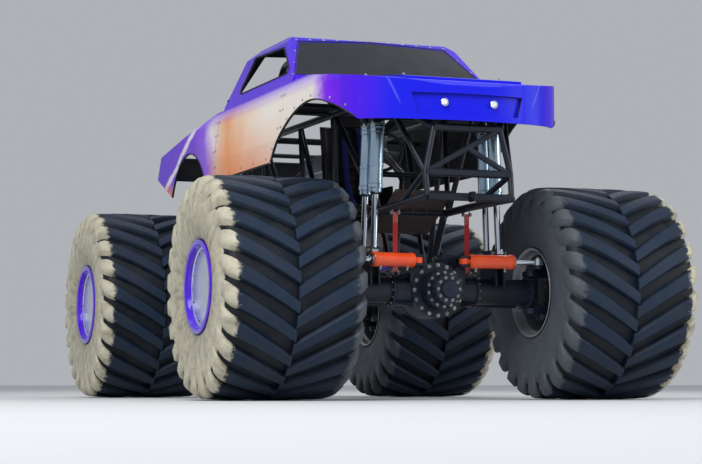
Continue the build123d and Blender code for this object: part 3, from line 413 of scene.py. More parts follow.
def close_up():
    """Merges what lies together and turns the faces of the form in edit mode outwards."""
    bpy.ops.mesh.select_all(action="SELECT")
    bpy.ops.mesh.remove_doubles(threshold=MERGE)
    bpy.ops.mesh.normals_make_consistent(inside=False)
    bpy.ops.object.mode_set(mode="OBJECT")


def loft(name, rings):
    """A closed form through rings of points: a circle's face set on the first and extruded to the rest."""
    bpy.ops.object.select_all(action="DESELECT")
    bpy.ops.mesh.primitive_circle_add(vertices=len(rings[0]), radius=1, fill_type="NGON", location=(0, 0, 0))
    obj = bpy.context.object
    bpy.ops.object.mode_set(mode="EDIT")
    bpy.ops.mesh.select_mode(type="VERT")
    bpy.ops.mesh.select_all(action="SELECT")
    mesh = bmesh.from_edit_mesh(obj.data)
    mesh.verts.ensure_lookup_table()
    front = list(mesh.verts)
    for corner, spot in zip(front, rings[0]):
        corner.co = spot
    bmesh.update_edit_mesh(obj.data)
    for ring in rings[1:]:
        bpy.ops.mesh.extrude_region_move()
        mesh = bmesh.from_edit_mesh(obj.data)
        front = [next(e.other_vert(corner) for e in corner.link_edges if e.other_vert(corner).select)
                 for corner in front]
        for corner, spot in zip(front, ring):
            corner.co = spot
        bmesh.update_edit_mesh(obj.data)
    close_up()
    obj.name = name
    return obj


def looped(name, rings):
    """A loft that comes back to its first ring: its two end faces go, so that it becomes a ring."""
    obj = loft(name, rings)
    bpy.ops.object.mode_set(mode="EDIT")
    bpy.ops.mesh.select_all(action="DESELECT")
    mesh = bmesh.from_edit_mesh(obj.data)
    for face in mesh.faces:
        face.select = len(face.verts) == len(rings[0])
    bmesh.update_edit_mesh(obj.data)
    bpy.ops.mesh.delete(type="FACE")
    close_up()
    return obj


def lathe(name, profile, sides=40):
    """A turned form about Z through (height, radius) points; a closed profile makes a ring."""
    turns = [2 * math.pi * k / sides for k in range(sides)]
    rings = [[(radius * math.cos(turn), radius * math.sin(turn), along) for turn in turns]
             for along, radius in profile]
    return looped(name, rings) if profile[0] == profile[-1] else loft(name, rings)


def collar(name, start, end, hole, radius, edge=0.002, drop=None, sides=40):
    """A turned ring from start to end along Z, its outer edges bevelled by edge along it and drop inwards."""
    low = radius - (edge if drop is None else drop)
    return lathe(name, [(start, hole), (start, low), (start + edge, radius), (end - edge, radius), (end, low),
                        (end, hole), (start, hole)], sides)


def only(obj):
    bpy.ops.object.select_all(action="DESELECT")
    obj.select_set(True)
    bpy.context.view_layer.objects.active = obj


def bevel(obj, width, **settings):
    """Rounds a form's edges with a modifier, and applies it."""
    mod = obj.modifiers.new("edges", "BEVEL")
    mod.width = width
    mod.segments = 2
    mod.limit_method = "ANGLE"
    for key, value in settings.items():
        setattr(mod, key, value)
    only(obj)
    bpy.ops.object.modifier_apply(modifier=mod.name)


def shift(x, y=0.0, z=0.0):
    return Matrix.Translation((x, y, z))


def turned(degrees, axis):
    return Matrix.Rotation(math.radians(degrees), 4, axis)


MIRROR_X = Matrix.Scale(-1, 4, (1, 0, 0))
MIRROR_Y = Matrix.Scale(-1, 4, (0, 1, 0))


def place(obj, matrix):
    """Moves a finished form by a matrix, in its mesh."""
    obj.data.transform(matrix)
    if matrix.determinant() < 0:
        obj.data.flip_normals()
    return obj


def towards(start, end):
    """The matrix that takes +Z at the origin to the line from start to end."""
    start, end = Vector(start), Vector(end)
    return Matrix.Translation(start) @ (end - start).to_track_quat("Z", "Y").to_matrix().to_4x4()


def facing(at, way):
    """The matrix that takes +Z at the origin to a direction at a point."""
    return towards(at, Vector(at) + Vector(way))


def copy_of(obj, matrix):
    """A copy with its own mesh, moved by a matrix."""
    new = obj.copy()
    new.data = obj.data.copy()
    bpy.context.collection.objects.link(new)
    return place(new, matrix)


def join(name, forms):
    """Joins forms into one piece."""
    only(forms[0])
    for form in forms:
        form.select_set(True)
    if len(forms) > 1:
        bpy.ops.object.join()
    forms[0].name = name
    return forms[0]


def repeat(form, matrices):
    """Copies of one form, joined, the form itself taken away."""
    forms = [copy_of(form, matrix) for matrix in matrices]
    bpy.data.objects.remove(form)
    return join("repeated", forms)


def slab(name, outline, low, high, edge=0.004):
    """An outline of (x, y) points raised from low to high, with its edges bevelled."""
    obj = loft(name, [[(x, y, low) for x, y in outline], [(x, y, high) for x, y in outline]])
    if edge:
        bevel(obj, edge)
    return obj


def block(name, low, high, edge=0.006):
    """A bevelled block between two corners."""
    (x0, y0, z0), (x1, y1, z1) = low, high
    return slab(name, [(x0, y0), (x1, y0), (x1, y1), (x0, y1)], z0, z1, edge)


def box_at(name, middle, size, edge=0.002):
    """A bevelled block about its middle."""
    low = [m - s / 2 for m, s in zip(middle, size)]
    high = [m + s / 2 for m, s in zip(middle, size)]
    return block(name, low, high, edge)


def pipe(name, points, radius, kind="POLY"):
    """A round bar through points, straight between them or smooth as NURBS."""
    data = bpy.data.curves.new(name, "CURVE")
    data.dimensions = "3D"
    data.bevel_depth = radius
    data.bevel_resolution = 1
    data.resolution_u = 6
    data.use_fill_caps = True
    line = data.splines.new(kind)
    line.points.add(len(points) - 1)
    for spot, point in zip(line.points, points):
        spot.co = (*point, 1)
    line.order_u = 3
    line.use_endpoint_u = True
    obj = bpy.data.objects.new(name, data)
    bpy.context.collection.objects.link(obj)
    only(obj)
    bpy.ops.object.convert(target="MESH")
    return bpy.context.object


def bolts(size, places):
    """Hexagon heads with their washers at these places, size across the flats in metres."""
    washer = lathe("washer", [(0, size * 0.8), (size * 0.14, size * 0.8), (size * 0.16, size * 0.74)], 16)
    head = lathe("head", [(size * 0.14, size * 0.577), (size * 0.66, size * 0.577),
                          (size * 0.76, size * 0.48)], 6)
    return repeat(join("bolt", [washer, head]), places)


def ring_of(count, radius, along=0.0, start=0.0):
    """Places round the Z axis, for bolts on a flange."""
    return [Matrix.Rotation(start + 2 * math.pi * k / count, 4, "Z") @ shift(radius, 0, along)
            for k in range(count)]


def fit(name, forms, mat, slot, body="chassis", angle=35, replaces=None):
    """Joins forms into a finished piece, with its material, smooth faces and body; its slot is not used."""
    piece = join(name, forms)
    dress(piece, mat)
    only(piece)
    bpy.ops.object.shade_smooth_by_angle(angle=math.radians(angle))
    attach(piece, body)
    if replaces:
        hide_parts(replaces)
    return piece


def corner_at(end, side="left"):
    """From the front left corner's own frame, whose origin is the axle's centre, to any corner."""
    matrix = shift(0, FRONT_AXLE, AXLE_HIGH) if end == "front" else shift(0, REAR_AXLE, AXLE_HIGH) @ MIRROR_Y
    return matrix if side == "left" else matrix @ MIRROR_X


def on_corners(forms):
    """Forms made for the front left corner, at all four."""
    return [repeat(join("corner", forms), [corner_at(*spot) for spot in CORNERS])]


def fit_each(spots, *rows):
    """Pieces at each axle or corner, on the chassis or on that spot's own body. Each row has a name, forms,
    material, slot and body."""
    models = [(name, join(name, forms), *rest) for name, forms, *rest in rows]
    for spot in spots:
        tail = "_".join(("", *spot))
        for name, form, mat, slot, body in models:
            fit(name + tail, [copy_of(form, corner_at(*spot))], mat, slot,
                body if body == "chassis" else body + tail)
    for model in models:
        bpy.data.objects.remove(model[1])


# Wheels
# Modelled once about the origin with +X outwards, then copied to the four corners

LUGS = 24
LUG_START = math.radians(2.87)
LUG_ROWS = [
    # distance from the middle, turn in degrees, groove radius, crest radius, foot and crest widths
    (-0.006, -0.4, 0.786, 0.836, 0.112, 0.088),
    (0.060, 2.6, 0.787, 0.838, 0.122, 0.094),
    (0.160, 7.0, 0.787, 0.838, 0.130, 0.100),
    (0.270, 11.6, 0.786, 0.837, 0.138, 0.106),
    (0.380, 15.9, 0.783, 0.834, 0.148, 0.114),
    (0.455, 18.6, 0.779, 0.829, 0.156, 0.120),
    (0.492, 20.2, 0.770, 0.819, 0.158, 0.120),
    (0.520, 21.8, 0.742, 0.786, 0.152, 0.108),
    (0.533, 23.4, 0.706, 0.738, 0.136, 0.088),
    (0.538, 25.2, 0.664, 0.684, 0.110, 0.060),
    (0.538, 27.0, 0.628, 0.636, 0.060, 0.024),
]
SHOULDER = 0.5
# the coat fades in across the lug crests: partly its real edge, partly painted sunlight that falls off as the
# crests turn from the sun
PAINT_START, PAINT_AND_SUN_FADE = 0.405, 0.10
# the coat on the carcass stops below the lug ends, and the dark gaps it leaves between them also stand for
# painted shade
WALL_TOP, WALL_FADE = 0.742, 0.06


def wheel_point(x, degrees, radius):
    turn = math.radians(degrees)
    return Vector((x, radius * math.sin(turn), radius * math.cos(turn)))


def lug_ring(x, turn, low, high, foot, top):
    """Nine points round a lug: its feet, walls and softly rounded crest, which bulges past the shoulder."""
    foot_turn = math.degrees(foot / 2 / low)
    top_turn = math.degrees(top / 2 / high)
    rise = high - low
    bulge = rise * 0.55 if x > SHOULDER else 0.0
    half = [(x - bulge * 0.2, foot_turn, low - 0.006), (x, foot_turn * 0.93, low + rise * 0.10),
            (x + bulge * 0.3, top_turn * 1.04, low + rise * 0.82),
            (x + bulge * 0.4, top_turn * 0.88, low + rise * 0.98)]
    before = [wheel_point(out, turn - spread, radius) for out, spread, radius in half]
    after = [wheel_point(out, turn + spread, radius) for out, spread, radius in reversed(half)]
    return [*before, wheel_point(x + bulge * 0.4, turn, high), *after]


def mark_paint_and_sun(obj, share):
    """Keeps how much sidewall paint each point has, for the rubber; on the lug crests its fade also stands for
    painted sunlight falling off.
    """
    coat = obj.data.attributes.new("sidewall_paint_and_sun", "FLOAT", "POINT")
    coat.data.foreach_set("value", [min(1.0, max(0.0, share(corner.co))) for corner in obj.data.vertices])


def mark_place(obj):
    """Keeps each point's place on the wheel, for the rubber and the cover."""
    spot = obj.data.attributes.new("wheel_place", "FLOAT_VECTOR", "POINT")
    spot.data.foreach_set("vector", [value for corner in obj.data.vertices for value in corner.co])


def tyre_model():
    """A hollow carcass with its beads, and two rows of slanted lugs, staggered by half a pitch."""
    lug = loft("lug", [lug_ring(*row) for row in LUG_ROWS])
    mark_paint_and_sun(lug, lambda p: (p.x - PAINT_START) / PAINT_AND_SUN_FADE)
    pitch = 2 * math.pi / LUGS
    places = []
    for k in range(LUGS):
        places.append(Matrix.Rotation(-k * pitch - LUG_START, 4, "X"))
        places.append(Matrix.Rotation(-(k + 0.5) * pitch - LUG_START, 4, "X") @ MIRROR_X)
    lugs = repeat(lug, places)
    half = [(0.0, 0.790), (0.20, 0.790), (0.38, 0.786), (0.45, 0.781), (0.488, 0.768), (0.512, 0.740),
            (0.527, 0.700), (0.536, 0.650), (0.540, 0.590), (0.540, 0.530), (0.536, 0.470), (0.527, 0.415),
            (0.521, 0.400), (0.521, 0.388), (0.514, 0.372), (0.507, 0.358), (0.480, 0.345),
            (0.45, 0.40), (0.46, 0.56), (0.40, 0.69), (0.0, 0.70)]
    other_half = [(-x, radius) for x, radius in reversed(half[1:-1])]
    carcass = place(lathe("carcass", [*half, *other_half, half[0]], 96), turned(90, "Y"))
    mark_paint_and_sun(carcass, lambda p: (WALL_TOP - math.hypot(p.y, p.z)) / WALL_FADE)
    tyre = join("tyre", [carcass, lugs])
    mark_place(tyre)
    return tyre


def wheel_models():
    """The wheel's pieces about the origin: name, form, material, slot and the node that it replaces."""
    lip = lathe("lip", [(0.420, 0.306), (0.474, 0.306), (0.519, 0.312), (0.525, 0.318), (0.525, 0.344),
                        (0.521, 0.350), (0.509, 0.350), (0.506, 0.344), (0.500, 0.322), (0.420, 0.3185),
                        (0.420, 0.306)], 96)
    barrel = lathe("barrel", [
        (-0.444, 0.306), (0.420, 0.306), (0.420, 0.3185), (-0.440, 0.3185), (-0.452, 0.330), (-0.470, 0.336),
        (-0.496, 0.339), (-0.504, 0.343), (-0.512, 0.352), (-0.516, 0.353), (-0.519, 0.350), (-0.517, 0.344),
        (-0.508, 0.334), (-0.498, 0.328), (-0.470, 0.325), (-0.456, 0.318), (-0.444, 0.306)], 72)
    cover = lathe("cover", [(0.452, 0.0), (0.452, 0.298), (0.456, 0.3055), (0.474, 0.3055), (0.476, 0.300),
                            (0.470, 0.292), (0.470, 0.240), (0.474, 0.232), (0.476, 0.150), (0.478, 0.0)], 96)
    drum = lathe("drum", [(-0.060, 0.090), (-0.060, 0.205), (-0.052, 0.213), (0.100, 0.215), (0.112, 0.225),
                          (0.150, 0.225), (0.156, 0.215), (0.330, 0.214), (0.360, 0.190), (0.400, 0.180),
                          (0.420, 0.150), (0.420, 0.090)], 48)
    centre = lathe("centre", [(0.120, 0.20), (0.120, 0.3055), (0.136, 0.3055), (0.136, 0.20)], 48)
    inwards = turned(180, "Y")
    pieces = [
        ("wheel_lip", lip, LIP, "rim", None), ("wheel_barrel", barrel, BARREL, "rim", "rim"),
        ("wheel_cover", cover, COVER, "polished_alloy", None),
        ("cover_bolts", bolts(0.013, ring_of(16, 0.266, 0.4705)), ZINC, "chrome_rod", None),
        ("barrel_bolts", bolts(0.017, [m @ inwards for m in ring_of(20, 0.331, -0.4505)]), ZINC, "chrome_rod",
         None),
        ("hub_drum", drum, AXLE_COAT, "axle_black", None), ("wheel_centre", centre, BARREL, "rim", None),
        ("wheel_nuts", bolts(0.022, [m @ inwards for m in ring_of(12, 0.256, 0.120)]), ZINC, "chrome_rod",
         None),
        ("brake_rotor", collar("rotor", -0.030, -0.014, 0.214, 0.264, sides=48), SHAFT_STEEL, "shaft_steel",
         None),
    ]
    for _, form, _, _, _ in pieces:
        place(form, turned(90, "Y"))
    mark_place(cover)
    return [("tyre", tyre_model(), RUBBER, "tyre", "tyre"), *pieces]


def fit_wheels():
    """All four wheels: the right ones are mirrored, so that +X stays outwards."""
    models = wheel_models()
    for end, side in CORNERS:
        axle = shift(0, FRONT_AXLE if end == "front" else REAR_AXLE, AXLE_HIGH)
        wheel = axle @ (shift(WHEEL_OUT) if side == "left" else shift(-WHEEL_OUT) @ MIRROR_X)
        for name, form, mat, slot, node in models:
            fit(f"{name}_{end}_{side}_detail", [copy_of(form, wheel)], mat, slot, f"wheel_{end}_{side}",
                40 if name == "tyre" else 35, f"{node}_{end}_{side}" if node else None)
    for model in models:
        bpy.data.objects.remove(model[1])


# Axles, shocks, links and steering
# Made in the front left corner's own frame

SHOCKS = [[Vector((0.520, hand * 0.110, 0.292)), Vector((0.480, hand * 0.095, 1.397))] for hand in HANDS]
LINKS = [[Vector((0.140, 0.110, 0.250)), Vector((0.318, 0.971, 0.130))],
         [Vector((0.440, 0.150, 0.0)), Vector((0.400, 0.971, 0.020))]]
PIN_HOLE = 0.0145


def eye_ring(radius, hole, width):
    """A turned eye about X with chamfered sides."""
    return place(collar("eye", -width / 2, width / 2, hole, radius, 0.005, 0.006, 32), turned(90, "Y"))


def fit_shocks():
    """Nitrogen shock bodies: seal head, honed tube with its bands, top cap, eye and charging valve."""
    bodies, hardware, seals = [], [], []
    for foot, top in SHOCKS:
        long = (top - foot).length
        start, stop = long * 0.40, long * 0.955
        line = towards(foot, top)
        tube = lathe("tube", [
            (start, 0.026), (start - 0.002, 0.040), (start + 0.006, 0.047), (start + 0.034, 0.047),
            (start + 0.038, 0.056), (start + 0.066, 0.056), (start + 0.070, 0.0515), (start + 0.200, 0.0515),
            (start + 0.202, 0.056), (start + 0.222, 0.056), (start + 0.224, 0.0515), (stop - 0.150, 0.0515),
            (stop - 0.146, 0.0565), (stop - 0.120, 0.0565), (stop - 0.116, 0.053), (stop - 0.112, 0.0565),
            (stop - 0.030, 0.0565), (stop - 0.018, 0.050), (stop - 0.004, 0.036), (long - 0.026, 0.021),
            (long - 0.026, 0.015)])
        bodies += [place(tube, line), place(eye_ring(0.034, PIN_HOLE, 0.052), shift(*top))]
        seal = lathe("seal", [(start - 0.012, 0.0255), (start - 0.012, 0.034), (start - 0.003, 0.039),
                              (start + 0.002, 0.039), (start + 0.002, 0.0255), (start - 0.012, 0.0255)], 32)
        seals.append(place(seal, line))
        valve = lathe("valve", [(0.050, 0.009), (0.060, 0.009), (0.062, 0.006), (0.078, 0.006),
                                (0.080, 0.004)], 16)
        clamp = lathe("clamp", [(stop - 0.096, 0.0568), (stop - 0.096, 0.0605), (stop - 0.082, 0.0605),
                                (stop - 0.082, 0.0568), (stop - 0.096, 0.0568)])
        hardware += [place(valve, line @ shift(0, 0, stop - 0.070) @ turned(90, "Y")), place(clamp, line)]
    fit("shock_bodies_detail", on_corners(bodies), SHOCK_ALLOY, "shock_alloy", replaces="shock_bodies")
    fit("shock_valves", on_corners(hardware), ZINC, "chrome_rod")
    fit("shock_seals", on_corners(seals), MATT_BLACK, "matte_black")


def fit_axles():
    """What is bolted or welded to each housing: cover, flanges, ribs, breather and bolt circles."""
    cap = lathe("cap", [(0.0, 0.0), (0.0, 0.062), (0.006, 0.066), (0.018, 0.062), (0.020, 0.030),
                        (0.024, 0.026), (0.024, 0.0)])
    breather = lathe("breather", [(0.210, 0.010), (0.232, 0.010), (0.234, 0.017), (0.250, 0.017),
                                  (0.254, 0.012)], 16)
    metal = [place(cap, facing((0, -0.344, 0), (0, -1, 0))), place(breather, shift(-0.06, 0.05))]
    fixings = []
    for count, radius, y, way, size, start in (
            (10, 0.088, -0.345, -1, 0.016, 0.0), (14, 0.128, -0.255, -1, 0.016, 0.2),
            (16, 0.192, -0.130, -1, 0.019, 0.0), (16, 0.192, 0.130, 1, 0.019, 0.0)):
        line = facing((0, y, 0), (0, way, 0))
        fixings.append(bolts(size, [line @ m for m in ring_of(count, radius, 0.0, start)]))
    for hand in HANDS:
        for x in (0.335, 0.800):
            flange = collar("flange", 0.0, 0.024, 0.0995, 0.128, 0.004)
            metal.append(place(flange, facing((hand * x, 0, 0), (hand, 0, 0))))
            line = facing((hand * (x + 0.0245), 0, 0), (hand, 0, 0))
            fixings.append(bolts(0.012, [line @ m for m in ring_of(12, 0.113)]))
        for turn in (0.7, 2.44, 3.84, 5.58):
            rib = loft("rib", [[(x, -0.006, 0.10), (x, 0.006, 0.10), (x, 0.006, high), (x, -0.006, high)]
                               for x, high in ((0.20, 0.170), (0.335, 0.126))])
            metal.append(place(rib, Matrix.Scale(hand, 4, (1, 0, 0)) @ Matrix.Rotation(turn, 4, "X")))
    fit_each(AXLES, ("axle_covers", metal, AXLE_COAT, "axle_black", "chassis"),
             ("axle_bolts", fixings, ZINC, "chrome_rod", "chassis"))


CYLINDER_BASE = Vector((0.190, -0.190, 0.221))
CYLINDER_PIN = Vector((0.780, -0.270, 0.221))


def fit_cylinders():
    """Steering cylinders: end cap and head band, gland nut, and two hose ports with their fittings."""
    cap = lathe("cap", [(0.054, 0.040), (0.054, 0.0545), (0.057, 0.0570), (0.075, 0.0570), (0.078, 0.0535),
                        (0.078, 0.040), (0.054, 0.040)])
    band = lathe("band", [(0.352, 0.050), (0.352, 0.0560), (0.356, 0.0575), (0.392, 0.0575), (0.397, 0.0545),
                          (0.401, 0.050), (0.401, 0.043), (0.352, 0.043), (0.352, 0.050)])
    line = towards(CYLINDER_BASE, CYLINDER_PIN)
    bands = [place(cap, line), place(band, line)]
    fittings = [lathe("gland", [(0.398, 0.0215), (0.398, 0.0415), (0.412, 0.0420), (0.416, 0.036),
                                (0.418, 0.026), (0.418, 0.0215), (0.398, 0.0215)], 32)]
    for at in (0.096, 0.330):
        boss = lathe("boss", [(0.050, 0.014), (0.062, 0.014), (0.064, 0.012), (0.066, 0.0095),
                              (0.078, 0.0095), (0.080, 0.0085)], 20)
        nut = lathe("nut", [(0.066, 0.0125), (0.076, 0.0125)], 6)
        fittings += [place(piece, shift(0, 0, at) @ turned(-90, "X")) for piece in (boss, nut)]
    # the ports stand straight up from the cylinder
    along = (CYLINDER_PIN - CYLINDER_BASE).normalized()
    across = along.cross(Vector((0, 0, 1)))
    upright = Matrix(((across.x, 0, along.x, 0), (across.y, 0, along.y, 0), (0, -1, along.z, 0),
                      (0, 0, 0, 1)))
    whole = place(join("fittings", fittings), shift(*CYLINDER_BASE) @ upright)
    fit_each(CORNERS, ("cylinder_bands", bands, ORANGE, "orange_paint", "steering_barrel"),
             ("cylinder_fittings", [whole], ZINC, "chrome_rod", "steering_barrel"))


def rod_end(at, toward, radius=0.038, width=0.050, shank=0.0175):
    """A rod end whose eye turns about X at one point, with its ball, shank and jam nut along a line."""
    half = [(-radius, PIN_HOLE), (-radius, PIN_HOLE + 0.006), (-width * 0.62, PIN_HOLE + 0.008),
            (-width * 0.46, radius - 0.011)]
    ball = lathe("ball", [*half, *[(-along, out) for along, out in reversed(half)], half[0]], 24)
    eye = join("eye", [eye_ring(radius, PIN_HOLE + 0.009, width), place(ball, turned(90, "Y"))])
    neck = lathe("neck", [(radius * 0.80, shank * 0.9), (radius * 1.05, shank), (radius + 0.052, shank)], 24)
    nut = lathe("nut", [(radius + 0.020, shank * 1.25), (radius + 0.021, shank * 1.45),
                        (radius + 0.036, shank * 1.45), (radius + 0.037, shank * 1.25)], 6)
    return join("end", [place(eye, shift(*at)), place(join("stem", [neck, nut]), towards(at, toward))])


def fit_links():
    """Swaged purple link tubes between steel rod ends, with a nut on each end of every pin."""
    tubes, ends, nuts = [], [], []
    for near, far in LINKS:
        swage = [(0.074, 0.019), (0.074, 0.0215), (0.079, 0.0235), (0.118, 0.030)]
        long = (far - near).length
        tube = lathe("tube", [*swage, *[(long - along, radius) for along, radius in reversed(swage)]], 32)
        tubes.append(place(tube, towards(near, far)))
        ends += [rod_end(near, far), rod_end(far, near)]
    for pins, reach, size in ((LINKS, 0.0543, 0.034), (SHOCKS, 0.0405, 0.030)):
        spots = [facing(pin + Vector((hand * reach, 0, 0)), (hand, 0, 0))
                 for pair in pins for pin in pair for hand in HANDS]
        nuts.append(bolts(size, spots))
    fit("link_bars_detail", on_corners(tubes), PURPLE, "purple_paint", replaces="link_bars")
    fit("link_rod_ends", on_corners(ends), ROD_END, "chrome_rod")
    fit("link_and_shock_nuts", on_corners(nuts), ZINC, "chrome_rod")


KINGPIN_OUT = 0.950
TIE_ROD_BACK = 0.215


def fit_tie_rods():
    """The tie rod's sleeves and jam nuts, and a boot on each ball pin."""
    metal, boots = [], []
    for hand in HANDS:
        pin = (hand * KINGPIN_OUT, TIE_ROD_BACK, -0.095)
        sleeve = lathe("sleeve", [(0.034, 0.0195), (0.034, 0.0245), (0.060, 0.0265), (0.128, 0.0265),
                                  (0.134, 0.0205)], 24)
        nut = lathe("nut", [(0.090, 0.026), (0.091, 0.0335), (0.112, 0.0335), (0.113, 0.026)], 6)
        metal += [place(piece, facing(pin, (-hand, 0, 0))) for piece in (sleeve, nut)]
        for low, high in ((-0.0225, -0.0275), (0.0225, 0.0255)):
            boot = lathe("boot", [(low, 0.014), (low, 0.031), ((low + high) / 2, 0.028), (high, 0.019),
                                  (high, 0.014), (low, 0.014)], 24)
            boots.append(place(boot, shift(*pin)))
    fit_each(AXLES, ("tie_rod_sleeves", metal, ROD_END, "chrome_rod", "tie_rod"),
             ("tie_rod_boots", boots, BOOT, "matte_black", "tie_rod"))


def fit_knuckles():
    """The kingpins' caps, the bolts round them and on both faces of the knuckle, and the ball pin's nut."""
    caps, cap_bolts, face_bolts = [], [], []
    for hand in HANDS:
        line = facing((KINGPIN_OUT, 0, hand * 0.198), (0, 0, hand))
        cap = lathe("cap", [(0.0, 0.0), (0.0, 0.054), (0.010, 0.054), (0.014, 0.050), (0.014, 0.022),
                            (0.018, 0.018), (0.018, 0.0)], 32)
        caps.append(place(cap, line))
        cap_bolts += [line @ m for m in ring_of(6, 0.038, 0.0142)]
        face_bolts += [facing((x, y, hand * z), (way, 0, 0)) for y in (-0.104, 0.104)
                       for z in (0.055, 0.110, 0.160) for x, way in ((1.0852, 1), (1.0308, -1))]
    pin_nut = facing((KINGPIN_OUT, TIE_ROD_BACK, -0.0688), (0, 0, 1))
    fixings = [bolts(0.011, cap_bolts), bolts(0.017, face_bolts), bolts(0.026, [pin_nut])]
    fit_each(CORNERS, ("kingpin_caps", caps, AXLE_COAT, "axle_black", "knuckle"),
             ("knuckle_bolts", fixings, ZINC, "chrome_rod", "knuckle"))


def web_edge(shoulder):
    """The outline of flat webbing, in half widths and half thicknesses."""
    half = [(-1, -0.4), (-shoulder, -1), (shoulder, -1), (1, -0.4)]
    return half + [(-x, -y) for x, y in half]


STRAP_OUT = 0.3
STRAP_LOW, STRAP_HIGH = 0.958, 1.458


def fit_straps():
    """Limit straps: two plies of webbing, folded and sewn at the ends, each held by a bolted clevis."""
    half = [(0.016, 0.003, 0.019), (0.020, 0.0056, 0.020), (0.100, 0.0056, 0.020), (0.106, 0.0030, 0.020)]
    stations = [(STRAP_LOW + z, thick, wide) for z, thick, wide in half]
    stations += [(STRAP_HIGH - z, thick, wide) for z, thick, wide in reversed(half)]
    strap = loft("strap", [[(x * wide, y * thick, z) for x, y in web_edge(0.94)]
                           for z, thick, wide in stations])
    stitch = box_at("stitch", (0, 0, 0), (0.0016, 0.0012, 0.006), 0)
    thread = repeat(stitch, [shift(x, face * 0.0058, base + row * 0.009)
                             for base in (STRAP_LOW + 0.030, STRAP_HIGH - 0.094) for row in range(8)
                             for x in (-0.014, -0.005, 0.005, 0.014) for face in HANDS])
    metal = []
    for z, way in ((STRAP_LOW, 1), (STRAP_HIGH, -1)):
        metal += [box_at("ear", (hand * 0.0255, 0, z + way * 0.018), (0.006, 0.032, 0.036)) for hand in HANDS]
        pin = lathe("pin", [(-0.010, 0.010), (-0.010, 0.013), (0.0, 0.013), (0.0, 0.0065), (0.0576, 0.0065),
                            (0.0576, 0.013), (0.068, 0.013), (0.068, 0.010)], 6)
        metal.append(place(pin, facing((-0.0288, 0, z + way * 0.022), (1, 0, 0))))
    places = [shift(hand * STRAP_OUT, axle) for axle in (FRONT_AXLE, REAR_AXLE) for hand in HANDS]
    fit("limit_straps_detail", [repeat(strap, places)], STRAP_RED, "strap_web", angle=50,
        replaces="limit_straps")
    fit("strap_stitches", [repeat(thread, places)], THREAD, "strap_web")
    fit("strap_clevises", [repeat(join("clevises", metal), places)], ZINC, "chrome_rod")


LAMP_OUT, LAMP_FRONT, LAMP_HIGH = 0.200, -2.6925, 2.200


def fit_lamps():
    """Two small round lamps in the nose: a turned bezel with its bowl, and a domed lens."""
    bezel = lathe("bezel", [(-0.042, 0.0), (-0.042, 0.0245), (-0.002, 0.0245), (-0.001, 0.030),
                            (0.004, 0.030), (0.006, 0.027), (0.004, 0.0225), (-0.006, 0.0215),
                            (-0.014, 0.0)])
    lens = lathe("lens", [(-0.005, 0.0), (-0.005, 0.0213), (0.001, 0.0213), (0.0045, 0.017), (0.006, 0.010),
                          (0.0065, 0.0)])
    places = [facing((hand * LAMP_OUT, LAMP_FRONT, LAMP_HIGH), (0, -1, 0)) for hand in HANDS]
    fit("lamp_bezels", [repeat(bezel, places)], CHROME, "chrome_rod", replaces="front_lamps")
    fit("lamp_lenses", [repeat(lens, places)], LENS, "lamp_lens")


# Engine and drive line

ENGINE_Z = 1.155
PORTS = [0.120 + 0.140 * k for k in range(4)]
BLOWER_Z = ENGINE_Z + 0.635
THROAT_Z = ENGINE_Z + 0.880
# Belt pulleys: height above the engine's foot, radius, and both faces
PULLEYS = ((0.190, 0.110, 0.640, 0.701), (0.640, 0.095, 0.618, 0.691))


def belt(low, low_radius, high, high_radius, near, far, thick):
    """A toothed belt round two pulleys whose axes lie along Y, one above the other."""
    lean = math.asin((low_radius - high_radius) / (high - low))
    rings = []
    for middle, radius, start, sweep in ((high, high_radius, lean, math.pi - 2 * lean),
                                         (low, low_radius, math.pi - lean, math.pi + 2 * lean)):
        for k in range(25):
            turn = start + sweep * k / 24
            out = Vector((math.cos(turn), 0, math.sin(turn)))
            spot = Vector((0, 0, middle)) + out * radius
            rings.append([spot + out * depth + Vector((0, y, 0)) for depth, y in (
                (0, near), (0, far), (thick, far), (thick, near + 0.0006), (thick / 2, near))])
    return looped("belt", [*rings, rings[0]])


